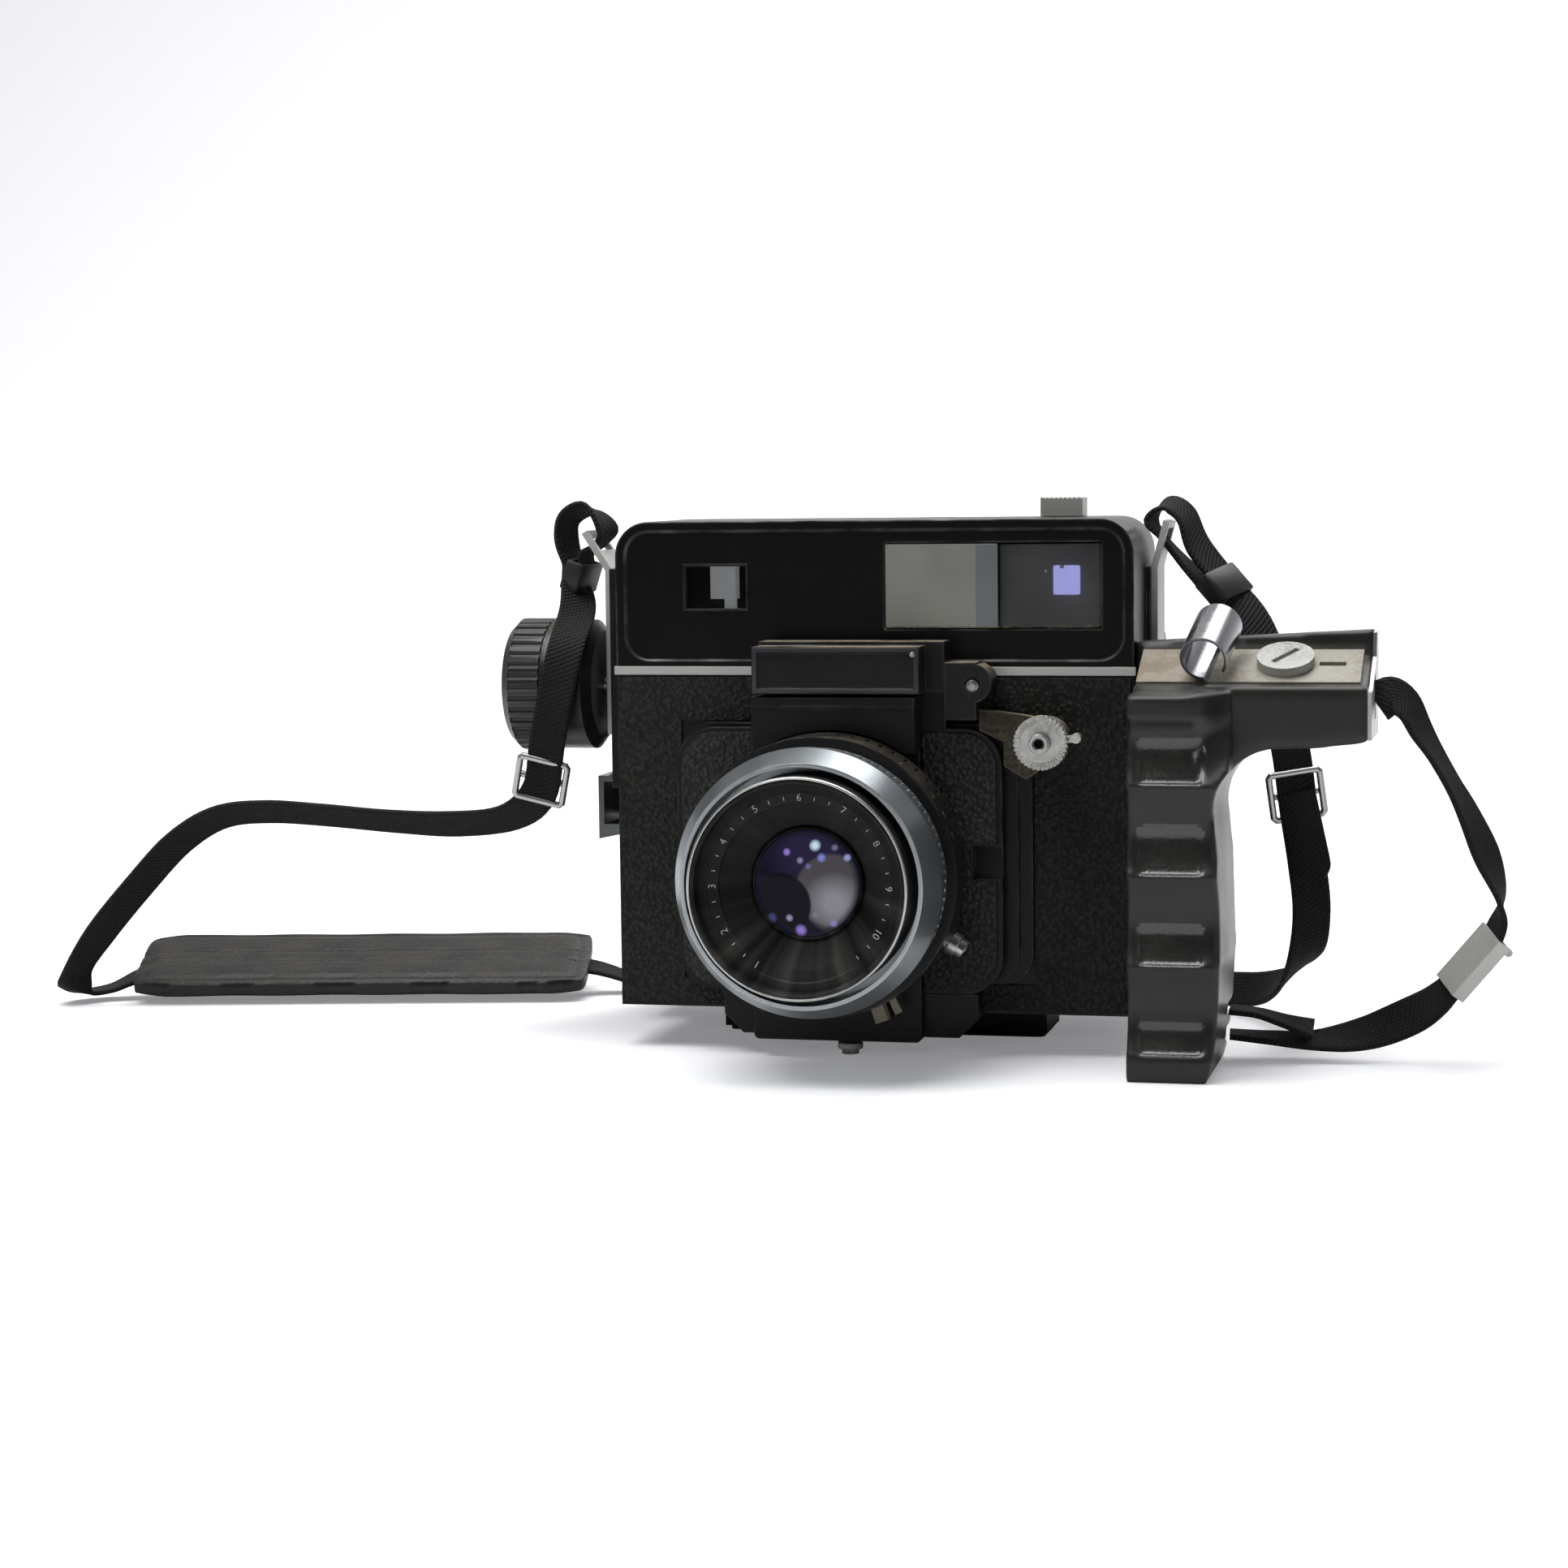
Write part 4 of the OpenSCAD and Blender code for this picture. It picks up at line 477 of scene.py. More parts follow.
    surface("frosted_side", (0.2, 0.22, 0.23), 0.35, spread=0.3)
    surface("half_mirror", (0.26, 0.26, 0.25), 0.3, spread=0.4, dust=0.5, speck=3,
            dust_color=(0.26, 0.26, 0.24))
    # painted light: the violet mirror glows though it is no lamp
    clear_glass("violet_mirror_painted_glow", (0.4, 0.4, 0.75), opacity=1.0, glow=(0.44, 0.46, 0.95), strength=1.0)
    # painted light: the rangefinder's mirror block glows gray as if lit, though it is no lamp
    clear_glass("window_block_painted_glow", (0.5, 0.52, 0.53), 0.25, opacity=1.0, glow=(0.5, 0.52, 0.53), strength=0.3)
    # white print, also used for painted glints in the finder
    surface("white_print_and_glint", (0.74, 0.73, 0.68), 0.5)
    surface("gold_print", (0.3, 0.235, 0.12), 0.5)
    surface("thread", (0.04, 0.04, 0.04), 0.7)
    # painted shade: near black for the mouth of a hole
    surface("painted_hole_shade", (0.002, 0.002, 0.002), 0.7, shine=0.1)
    surface("yellow_dust", (0.24, 0.21, 0.12), 0.7, spread=0.7)


def paint_nodes():
    slots = {s["node"]: s["material_slot"] for s in frame["record"]["subparts"]}
    for name, node in nodes.items():
        finish = finishes[NODE_FINISH.get(name, slots[name])]
        if not node.material_slots:
            node.data.materials.append(finish)
        for slot in node.material_slots:
            slot.material = finish


# Mesh helpers

def new_mesh(points, faces):
    mesh = bpy.data.meshes.new("mesh")
    mesh.from_pydata(points, [], faces)
    return mesh


def mesh_of(bm):
    mesh = bpy.data.meshes.new("mesh")
    bm.to_mesh(mesh)
    bm.free()
    return mesh


def moved(mesh, matrix):
    mesh.transform(matrix)
    return mesh


def shift(x, y, z):
    """A move in mm."""
    return Matrix.Translation((x * MM, y * MM, z * MM))


def turned(degrees, axis):
    return Matrix.Rotation(math.radians(degrees), 4, axis)


def sized(x, y, z):
    """A scale that brings a shape of 1 m to x, y and z mm."""
    return Matrix.Diagonal((x * MM, y * MM, z * MM, 1))


def joined(meshes):
    bm = bmesh.new()
    for mesh in meshes:
        bm.from_mesh(mesh)
    return mesh_of(bm)


def add_piece(name, mesh, finish, body, sharp=32):
    mesh.materials.append(finishes[finish])
    mesh.polygons.foreach_set("use_smooth", [True] * len(mesh.polygons))
    mesh.set_sharp_from_angle(angle=math.radians(sharp))
    piece = linked(name, mesh)
    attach(piece, body)
    return piece


def ring_faces(rows, count, base=0):
    """Faces between rings of points, with the last ring joined to the first."""
    faces = []
    for k in range(rows):
        here, there = base + k * count, base + (k + 1) % rows * count
        for i in range(count):
            j = (i + 1) % count
            faces.append((here + i, here + j, there + j, there + i))
    return faces


def tube_faces(rows, count):
    """Faces of a tube along rings of points, with both ends closed."""
    faces = []
    for k in range(rows - 1):
        here, there = k * count, (k + 1) * count
        for i in range(count):
            j = (i + 1) % count
            faces.append((here + i, there + i, there + j, here + j))
    faces.append(tuple(range(count)))
    faces.append(tuple((rows - 1) * count + i for i in reversed(range(count))))
    return faces


def lathe_mesh(profile, count=128, axis=(0, AXIS_Z)):
    """Turned about an axis along Y at (x, z). Profile points are (radius, y) and run round the section."""
    points = []
    for r, y in profile:
        for i in range(count):
            a = 2 * math.pi * i / count
            points.append(((axis[0] + r * math.cos(a)) * MM, y * MM, (axis[1] + r * math.sin(a)) * MM))
    return new_mesh(points, ring_faces(len(profile), count))


def spline_rows(route, steps):
    """Catmull-Rom rows of (point, width direction) along a route."""
    rows = []
    last = len(route) - 1
    for i in range(last):
        four = [route[max(i - 1, 0)], route[i], route[i + 1], route[min(i + 2, last)]]
        for s in range(steps):
            rows.append(blended(four, s / steps))
    rows.append(blended([route[-2], route[-2], route[-1], route[-1]], 1))
    return rows


def blended(four, u):
    out = []
    for part in (slice(0, 3), slice(3, 6)):
        a, b, c, d = (Vector(row[part]) for row in four)
        out.append(0.5 * (2 * b + (c - a) * u + (2 * a - 5 * b + 4 * c - d) * u * u
                          + (3 * b - a - 3 * c + d) * u ** 3))
    return out[0], out[1].normalized()


def woven_mesh(points, section, widths, lengths):
    """Webbing as a tube of sections, with a UV map in metres: across and along the strap."""
    count = len(section)
    mesh = new_mesh(points, tube_faces(len(widths), count))
    uv = mesh.uv_layers.new(name="weave")
    for loop in mesh.loops:
        row, i = divmod(loop.vertex_index, count)
        uv.data[loop.index].uv = (section[i][0] * widths[row] * MM, lengths[row] * MM)
    return mesh


def webbing_mesh(route):
    """Flat woven tube along a route in mm, with selvedges. Returns the mesh and its middle line."""
    rows = spline_rows(route, 6)
    half = [(-0.5, 0.0), (-0.49, 0.36), (-0.44, 0.5), (-0.36, 0.42), (0, 0.38), (0.36, 0.42), (0.44, 0.5),
            (0.49, 0.36)]
    section = half + [(0.5, 0.0)] + [(x, -z) for x, z in reversed(half[1:])]
    points, lengths = [], [0.0]
    for k, (place, wide) in enumerate(rows):
        before, after = rows[max(k - 1, 0)][0], rows[min(k + 1, len(rows) - 1)][0]
        along = (after - before).normalized()
        side = (wide - along * wide.dot(along)).normalized()
        up = along.cross(side)
        for x, z in section:
            points.append((place + side * x * WEB_WIDTH + up * z * WEB_THICK) * MM)
        if k:
            lengths.append(lengths[-1] + (place - rows[k - 1][0]).length)
    mesh = woven_mesh(points, section, [WEB_WIDTH] * len(rows), lengths)
    return mesh, [place * MM for place, _ in rows]


def strap_matrix(place, along, side):
    """The frame of a piece on a strap: x along the webbing's width, z along the strap."""
    z = Vector(along).normalized()
    x = (Vector(side) - z * Vector(side).dot(z)).normalized()
    matrix = Matrix((x, z.cross(x), z)).transposed().to_4x4()
    matrix.translation = Vector(place) * MM
    return matrix


# Straps. Each row of a route is a point on the webbing's middle line, in mm, and the way its width runs.

NECK_ROUTE = [
    (-77.6, -4, 124, 0.1, 1, 0), (-78.8, -4, 129.6, 0.1, 1, 0), (-74.8, -4, 132.5, 0, 1, 0),
    (-72.6, -4, 136.8, 0.3, 0.93, 0), (-77.6, -4, 142.2, 0.2, 0.93, -0.3),
    (-83.2, -4, 139.8, 0.25, 0.93, -0.25), (-84.2, -4, 134, 0.35, 0.92, 0), (-81.8, -4.5, 125, 0.3, 1, 0),
    (-78.6, -13, 115.5, 0.8, 0.6, 0), (-78, -26.4, 106, 1, 0.1, 0), (-80.5, -28.4, 93.5, 1, 0, -0.1),
    (-83.8, -27, 79, 1, 0, -0.2), (-87.5, -23, 66, 1, 0.1, -0.3), (-98, -17, 58.5, 0.5, 0.6, -0.6),
    (-116, -12, 56, 0, 0.7, -0.7), (-136, -7, 56, 0, 0.75, -0.66), (-156, -3, 57, 0, 0.75, -0.66),
    (-175, 0, 57.5, 0, 0.75, -0.66), (-190.5, 2, 55.5, 0.1, 0.75, -0.6), (-204, 4, 48, 0.4, 0.75, -0.5),
    (-216, 4, 36, 0.5, 0.75, -0.4), (-228.5, 3, 21.5, 0.5, 0.75, -0.35), (-237, 4, 9.5, 0.4, 0.85, -0.2),
    (-238.5, 9, 3.4, 0.83, -0.35, 0), (-232, 16, 3.2, 0.5, -0.83, 0), (-221, 20, 7.4, 0.2, -0.95, -0.3),
    (-198, 27, 9.4, 0.25, -0.92, -0.3), (-160, 36, 9.4, 0.2, -0.93, -0.3),
    (-122, 44, 9.4, 0.2, -0.93, -0.3), (-96, 49, 8, 0.2, -0.95, -0.2), (-76, 53, 2.2, 0.1, -1, 0),
    (-50, 56, 1, 0, -1, 0), (-10, 58, 1, 0, -1, 0), (30, 58, 1, -0.1, -1, 0),
    (66, 55, 3.4, -0.3, -0.7, -0.5), (88, 46, 6, -0.25, -0.35, -0.85), (102, 29, 9, -0.35, -0.2, -0.85),
    (111, 10, 15, -0.6, -0.15, -0.7), (117, -5, 24, -0.9, -0.1, -0.4), (119, -12, 36, -1, -0.2, -0.1),
    (118, -15, 49, -1, -0.2, -0.15), (116, -18, 64, -1, -0.2, -0.2), (114, -18.5, 79, -1, -0.2, -0.25),
    (109.5, -14.5, 97, -0.9, -0.4, -0.3), (103.8, -9, 111, -0.8, -0.6, -0.3),
    (96.5, -5.5, 121.2, -0.5, -0.9, -0.25), (88.9, -4.5, 130.8, -0.4, -0.85, -0.35),
    (85.4, -4, 139.2, -0.25, -0.88, -0.35), (80.4, -4, 142, -0.2, -0.9, -0.3),
    (76.4, -4, 138, -0.2, -0.95, -0.1), (79.5, -4, 133.2, 0, -1, 0), (86, -4.2, 125.8, -0.1, -1, -0.1),
    (94, -5, 118.2, -0.4, -0.9, -0.2),
]

HAND_ROUTE = [
    (137.4, -42.5, 92.4, 0, 0.1, 1), (141, -41.6, 94.4, 0, 0.4, 0.9), (145, -40.4, 91.8, 0.3, 0.7, 0.6),
    (148, -39.2, 86, 0.41, 0.88, 0.24), (151.6, -38, 79.8, 0.27, 0.95, 0.16),
    (156.1, -36.5, 71.5, 0.25, 0.96, 0.15), (159.9, -35, 63.9, 0.38, 0.9, 0.22),
    (163.9, -34, 54.7, 0.5, 0.81, 0.29), (166.6, -33, 47.8, 0.35, 0.92, 0.12),
    (167.9, -32.6, 42, 0.05, 1, 0), (167.3, -32.4, 36.6, -0.35, 0.9, 0.15),
    (164.2, -32.4, 30.2, -0.36, 0.88, 0.3), (157.8, -32.4, 22.6, -0.36, 0.88, 0.3),
    (151.5, -32, 16, -0.4, 0.66, 0.6), (144.1, -31.5, 11.4, -0.3, 0.35, 0.88),
    (133.7, -31, 7.2, -0.2, 0.7, 0.7), (121.4, -31, 5.2, 0, 0.93, 0.3), (110, -32.4, 5.8, 0, 1, 0.1),
    (99.9, -33.4, 6.6, 0, 1, 0),
]

TAIL_ROUTE = [
    (99.9, -33.4, 13, 0, 1, 0), (107, -33, 12.2, 0, 1, 0), (114, -31.8, 10, 0, 1, 0.1),
    (121, -31, 8, 0, 0.93, 0.3),
]


def tip_mesh():
    """Loose end of the webbing with its rounded tip, curling a little away from the strap."""
    matrix = strap_matrix((117.6, -19.4, 58), (4.4, -0.6, -20), (1, 0.1, 0.2))
    # the tip is straight from start to tip_start and then a half circle
    start, tip_start, radius = -10, 9, 5.0
    lengths = [start + i for i in range(19)]
    lengths += [tip_start + radius * math.sin(a * math.pi / 16) for a in range(1, 8)]
    widths = [math.sqrt(max(0.3, radius ** 2 - max(0, z - tip_start) ** 2)) for z in lengths]
    section = [(-1, 0), (-0.9, 0.5), (0, 0.38), (0.9, 0.5), (1, 0), (0.9, -0.5), (0, -0.38), (-0.9, -0.5)]
    points = []
    for z, half in zip(lengths, widths):
        curl = -0.0022 * (z - start) ** 2
        for x, y in section:
            points.append(matrix @ (Vector((x * half, y * 1.4 + curl, z)) * MM))
    return woven_mesh(points, section, widths, lengths)


def pad_mesh():
    """Shoulder pad: a crowned cushion with sewn edges and two sewn grooves along its middle."""
    long_half, wide_half, thick = 66.0, 18.0, 6.0
    nu, nv = 96, 40
    matrix = shift(-160, 35.4, 9.2) @ turned(11.5, "Z") @ turned(16, "X")

    def height(x, y):
        from_end, from_side = long_half - abs(x), wide_half - abs(y)
        rim = min(1.0, max(0.0, from_end / 7)) * min(1.0, max(0.0, from_side / 7))
        crown = 0.5 + 0.5 * math.sqrt(max(0.0, 1 - (1 - rim) ** 2))
        seam = 0.75 * math.exp(-((min(from_side, from_end) - 3.2) / 0.7) ** 2)
        groove = 0.55 * math.exp(-((abs(y) - 3.4) / 0.8) ** 2)
        swell = 0.12 * math.sin(x * 0.21) * math.cos(y * 0.33)
        return thick / 2 * crown - seam - groove + swell

    points = []
    for side in (1, -1):
        for i in range(nu + 1):
            for j in range(nv + 1):
                u, v = 2 * i / nu - 1, 2 * j / nv - 1
                round_off = 1 - 0.10 * max(0.0, abs(u) - 0.86) / 0.14 * abs(v) ** 3
                x = long_half * u * (1 - 0.022 * abs(v) ** 6)
                y = wide_half * v * round_off * (1 - 0.018 * math.cos(u * math.pi / 2))
                z = side * max(0.5, height(long_half * u, wide_half * v))
                points.append(matrix @ (Vector((x, y, z)) * MM))
    row = nv + 1
    base = (nu + 1) * row
    faces = []
    for s, flip in ((0, False), (base, True)):
        for i in range(nu):
            for j in range(nv):
                here = s + i * row + j
                quad = (here, here + row, here + row + 1, here + 1)
                faces.append(tuple(reversed(quad)) if flip else quad)
    rim = [i * row for i in range(nu)] + [nu * row + j for j in range(nv)]
    rim += [i * row + nv for i in range(nu, 0, -1)] + [j for j in range(nv, 0, -1)]
    for a, b in zip(rim, rim[1:] + rim[:1]):
        faces.append((b, a, a + base, b + base))
    return new_mesh(points, faces), matrix


def stitch_mesh(matrix, places, length=1.9, thick=0.34):
    """Rounded stitches along x, at places in mm in the pad's own frame."""
    bm = bmesh.new()
    turn = Vector((1, 0, 0)).to_track_quat("Z", "Y").to_matrix().to_4x4()
    for place in places:
        spot = matrix @ shift(*place) @ turn @ sized(thick, thick * 0.8, length / 2)
        bmesh.ops.create_uvsphere(bm, u_segments=8, v_segments=6, radius=1.0, matrix=spot)
    return mesh_of(bm)


def keeper_mesh(fittings):
    """Keepers: short flat tubes with rounded corners round two layers of webbing."""
    section = [(0.86, -1), (0.97, -0.9), (1, -0.65), (1, 0.65), (0.97, 0.9), (0.86, 1), (-0.86, 1),
               (-0.97, 0.9), (-1, 0.65), (-1, -0.65), (-0.97, -0.9), (-0.86, -1)]
    points, faces = [], []
    for matrix, long in fittings:
        rows = []
        for z, grow in ((-long / 2, -0.25), (-long / 2 + 0.4, 0.0), (long / 2 - 0.4, 0.0), (long / 2, -0.25)):
            rows.append([(x * (6.6 + grow), y * (2.9 + grow), z) for x, y in section])
        for z in (long / 2, -long / 2):
            rows.append([(x * 5.5, y * 2.2, z) for x, y in section])
        faces += ring_faces(len(rows), len(section), len(points))
        points += [matrix @ (Vector(p) * MM) for row in rows for p in row]
    return new_mesh(points, faces)


def buckle_mesh(places):
    """Slide buckles: a bent wire frame with a bar across its middle."""
    wire_radius, bar_lift = 0.9, -1.3
    corner = [(-6.6, -5.2), (-5.9, -6), (5.9, -6), (6.6, -5.2), (6.6, 5.2), (5.9, 6), (-5.9, 6), (-6.6, 5.2)]
    runs = [(a, b, 0.0) for a, b in zip(corner, corner[1:] + corner[:1])] + [((-6.6, 0), (6.6, 0), bar_lift)]
    bm = bmesh.new()
    for matrix in places:
        for a, b, lift in runs:
            start, end = Vector((a[0], lift, a[1])), Vector((b[0], lift, b[1]))
            turn = (end - start).to_track_quat("Z", "Y").to_matrix().to_4x4()
            spot = matrix @ shift(*(start + end) / 2) @ turn @ sized(1, 1, (end - start).length + 0.5)
            bmesh.ops.create_cone(bm, cap_ends=True, segments=12, radius1=wire_radius, radius2=wire_radius,
                                  depth=1.0, matrix=spot)
    return mesh_of(bm)


def build_straps():
    mesh, neck_line = webbing_mesh(NECK_ROUTE)
    neck = add_piece("neck_strap_webbing", mesh, "webbing", "camera", 60)
    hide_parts("neck_strap")
    tip = add_piece("neck_strap_tip", tip_mesh(), "webbing", "camera", 60)
    mesh, matrix = pad_mesh()
    pad = add_piece("shoulder_pad_cushion", mesh, "pad_vinyl", "camera", 50)
    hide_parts("shoulder_pad")
    stitches = []
    first, spacing = -61, 2.5
    for y, top in ((-14.6, 2.0), (14.6, 2.0), (-3.4, 2.35), (3.4, 2.35)):
        for i in range(50):
            x = first + i * spacing
            stitches += [(x, y, top), (x, y, -top)]
    mesh = stitch_mesh(matrix, stitches)
    seams = add_piece("shoulder_pad_stitching", mesh, "thread", "camera")
    mesh = keeper_mesh([(strap_matrix((-80, -4.4, 124), (-3, 0.5, -9), (0.15, 1, 0)), 8),
                        (strap_matrix((95.6, -5.2, 120.4), (8, -2, -9), (0.5, 0.9, 0.2)), 9)])
    keepers = add_piece("strap_keepers", mesh, "keeper_plastic", "camera", 50)
    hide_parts("strap_fittings")
    mesh = buckle_mesh([strap_matrix((-86.4, -24.3, 69.4), (-3.4, 4, -12), (1, 0.1, -0.25)),
                        strap_matrix((115.6, -18.2, 67), (1.8, 2.6, -15), (1, 0.2, 0.2))])
    frames = add_piece("strap_buckles", mesh, "steel", "camera", 40)
    mesh, hand_line = webbing_mesh(HAND_ROUTE)
    hand = add_piece("hand_strap_webbing", mesh, "webbing", "camera", 60)
    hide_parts("hand_strap")
    tail = add_piece("hand_strap_tail", webbing_mesh(TAIL_ROUTE)[0], "webbing", "camera", 60)


# Lens

def build_lens():
    # front ring: its outside and rim, the face with the marks, the fine steps of the funnel, and its back
    tip = FRONT_Y - 56.8
    funnel = [(27.85, -76.9), (27.85, tip + 0.9), (27.4, tip + 0.25), (26.6, tip), (26.05, tip + 0.3),
              (26.0, tip + 4.0), (23.9, tip + 4.1), (23.5, tip + 4.5), (20.9, tip + 5.3), (20.7, tip + 5.9)]
    r, y = 20.7, tip + 5.9
    while r > 14.6:
        funnel += [(r - 0.24, y + 0.14), (r - 0.31, y + 0.41)]
        r, y = r - 0.31, y + 0.41
    funnel += [(13.9, -80.9), (12.9, -80.2), (12.9, -77.2), (13.45, -77.2), (21, -76.9)]
    ring = add_piece("front_ring_turned", lathe_mesh(funnel), "lens_inside", "lens", 25)
    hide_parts("front_ring")
    edge = [(27.9, tip + 0.5), (27.7, tip + 0.12), (27.45, tip - 0.02), (27.2, tip + 0.05),
            (27.1, tip + 0.35), (27.4, tip + 0.6)]
    add_piece("front_ring_edge", lathe_mesh(edge), "satin_chrome", "lens")
    rim = FRONT_Y - 51.7
    edge = [(30.85, rim + 0.6), (30.75, rim + 0.1), (30.45, rim - 0.04), (30.15, rim + 0.05),
            (30.05, rim + 0.4), (30.4, rim + 0.8)]
    add_piece("speed_ring_edge", lathe_mesh(edge), "satin_chrome", "speed_ring")
    # the front glass, domed by 2.2 mm
    top, rise, steps = FRONT_Y - 43.9, 2.2, 16
    dome = [(0.0, top - rise)]
    dome += [(13.3 * i / steps, top - rise + rise * (i / steps) ** 2) for i in range(1, steps + 1)]
    dome += [(13.42, top + 1.9), (0.0, top + 1.9)]
    dome = add_piece("front_glass_dome", lathe_mesh(dome, 96), "coated_glass", "lens", 30)
    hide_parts("front_glass")


def text_mesh(words, size):
    """Flat digits as a mesh, centred, in the XZ plane facing -Y, in metres."""
    curve = bpy.data.curves.new("digits", "FONT")
    curve.body = words
    curve.size = size * MM
    curve.extrude = 0.02 * MM
    curve.align_x = "CENTER"
    curve.align_y = "CENTER"
    holder = linked("digits", curve)
    bpy.context.view_layer.update()
    mesh = bpy.data.meshes.new_from_object(holder)
    bpy.data.objects.remove(holder)
    return moved(mesh, turned(90, "X"))


def tick_mesh(wide, tall):
    bm = bmesh.new()
    bmesh.ops.create_cube(bm, size=1.0, matrix=sized(wide, 0.04, tall))
    return mesh_of(bm)


def on_ring(turn, y, radius, tilt):
    """A place on a lens ring, turned about the lens axis and then tilted, in degrees."""
    spot = shift(0, 0, AXIS_Z) @ turned(turn, "Y") @ shift(0, y, radius)
    return spot @ turned(tilt, "X")


# Numbers round the rings' outer faces: piece, body, radius and y in mm, step and start in degrees
RING_MARKS = [
    ("aperture_marks", "aperture_ring", 35.84, -66.4, 9, 18, ["4", "6", "8", "11", "16", "22", "32"]),
    ("speed_marks", "speed_ring", 33.24, -71.0, 10, -10,
     ["1", "2", "4", "8", "15", "30", "60", "125", "250", "500"]),
]


def build_marks():
    # plain numbers and ticks on the face of the front ring, clockwise from the lower left
    marks = []
    for k in range(30):
        mesh = tick_mesh(0.25, 1.0) if k % 3 else text_mesh(str(k // 3 + 1), 2.7)
        marks.append(moved(mesh, on_ring(-150 + k * 10, FRONT_Y - 52.15, 22.3, 17)))
    add_piece("front_ring_marks", joined(marks), "white_print_and_glint", "lens")
    for name, body, radius, y, step, start, numbers in RING_MARKS:
        marks = [moved(text_mesh(words, 1.9), on_ring(start + k * step, y, radius, -90))
                 for k, words in enumerate(numbers)]
        add_piece(name, joined(marks), "gold_print", body)
    # numbers on the exposure counter, which faces backwards
    marks, middle, radius = [], (61, 40.14, 97), 5.9
    for k in range(10):
        spot = shift(*middle) @ turned(-k * 30, "Y") @ shift(0, 0, radius) @ turned(180, "Z")
        marks.append(moved(text_mesh(str(k + 1), 1.9), spot))
    add_piece("counter_marks", joined(marks), "knob_black", "counter_dial")


# Small hardware

def screw_mesh(radius, tall=0.5):
    """Slotted screw head, dome side towards -Y, at the origin."""
    bm = bmesh.new()
    rings = [(radius, 0.0), (radius, -0.5 * tall), (radius * 0.86, -0.85 * tall), (radius * 0.5, -tall)]
    count = 32
    grid = []
    for r, y in rings:
        row = []
        for i in range(count):
            a = 2 * math.pi * i / count
            x, z = r * math.cos(a), r * math.sin(a)
            in_slot = abs(z) < radius * 0.16 and y < -0.4 * tall
            deep = 0.45 * tall if in_slot else 0.0
            row.append(bm.verts.new((x * MM, (y + deep) * MM, z * MM)))
        grid.append(row)
    for a, b in zip(grid, grid[1:]):
        for i in range(count):
            j = (i + 1) % count
            bm.faces.new((a[i], b[i], b[j], a[j]))
    bm.faces.new(list(reversed(grid[0])))
    bm.faces.new(grid[-1])
    return mesh_of(bm)


def place_screw(name, place, radius, turn, finish, body, facing=0):
    """A screw head with its slot turned in degrees. facing is 0 for the front and 180 for the back."""
    spot = shift(*place) @ turned(facing, "Z") @ turned(turn, "Y")
    add_piece(name, moved(screw_mesh(radius), spot), finish, body)


def knurl_mesh(x, z, y):
    """Rounded ridges that run outward on the face of the lock ring, in mm."""
    bm = bmesh.new()
    for k in range(48):
        spot = shift(x, y, z) @ turned(k * 7.5, "Y") @ shift(5.75, 0, 0) @ sized(0.85, 0.22, 0.24)
        bmesh.ops.create_uvsphere(bm, u_segments=8, v_segments=6, radius=1.0, matrix=spot)
    return mesh_of(bm)


def build_hardware():
    place_screw("hood_screw", (22, FRONT_Y - 18.05, 105.2), 0.7, 30, "satin_chrome", "lens_standard")
    place_screw("linkage_screw", (36, FRONT_Y - 10.2, 96.5), 1.9, 55, "steel", "lens_standard")
    # painted shade in the mouth of the cable socket in the release button, as a black disc, and the button's
    # hollow end
    middle = (RELEASE_X, RELEASE_Z)
    hole = [(0.0, -55.6), (1.2, -55.6), (1.2, -55.2), (0.0, -55.2)]
    add_piece("release_hole_shade", lathe_mesh(hole, 32, middle), "painted_hole_shade", "release_button")
    cup = [(2.5, -56.8), (2.35, -57.3), (1.6, -57.3), (1.3, -56.9), (1.3, -56.5), (2.5, -56.5)]
    add_piece("release_cup", lathe_mesh(cup, 48, middle), "satin_chrome", "release_button")
    add_piece("release_knurl", knurl_mesh(RELEASE_X, RELEASE_Z, -54.02), "mottled_nickel",
              "release_lock_ring", 20)
    # silver collar round the lens lock pin
    collar = [(3.1, 3.3), (3.3, 3.0), (3.3, 1.9), (3.1, 1.6), (2.3, 1.6), (2.3, 3.3)]
    mesh = moved(lathe_mesh(collar, 48, (0, 0)), shift(2, -41.2, 0) @ turned(90, "X"))
    add_piece("lock_pin_collar", mesh, "bright_silver", "lens_standard")


def rounded_panel(x, z, y, radius, thick=0.3):
    """A thin plate with rounded corners in the XZ plane, front face at y, in mm."""
    corners = [(x[1] - radius, z[1] - radius, 0), (x[0] + radius, z[1] - radius, 90),
               (x[0] + radius, z[0] + radius, 180), (x[1] - radius, z[0] + radius, 270)]
    line = []
    for cx, cz, first in corners:
        for k in range(7):
            a = math.radians(first + k * 15)
            line.append((cx + radius * math.cos(a), cz + radius * math.sin(a)))
    count = len(line)
    points = [(px * MM, yy * MM, pz * MM) for yy in (y, y + thick) for px, pz in line]
    faces = [tuple(range(count)), tuple(reversed(range(count, 2 * count)))]
    faces += [(j, i, i + count, j + count) for i, j in zip(range(count), [*range(1, count), 0])]
    return new_mesh(points, faces)


def frame_mesh(x, z, y, wide, deep):
    """A raised rectangular bead round an opening, in mm."""
    points = []
    for grow, yy in ((0, y), (0.12 * wide, y - deep), (0.8 * wide, y - deep), (wide, y)):
        left, right, low, high = x[0] - grow, x[1] + grow, z[0] - grow, z[1] + grow
        for px, pz in ((left, low), (right, low), (right, high), (left, high)):
            points.append((px * MM, yy * MM, pz * MM))
    return new_mesh(points, ring_faces(4, 4))


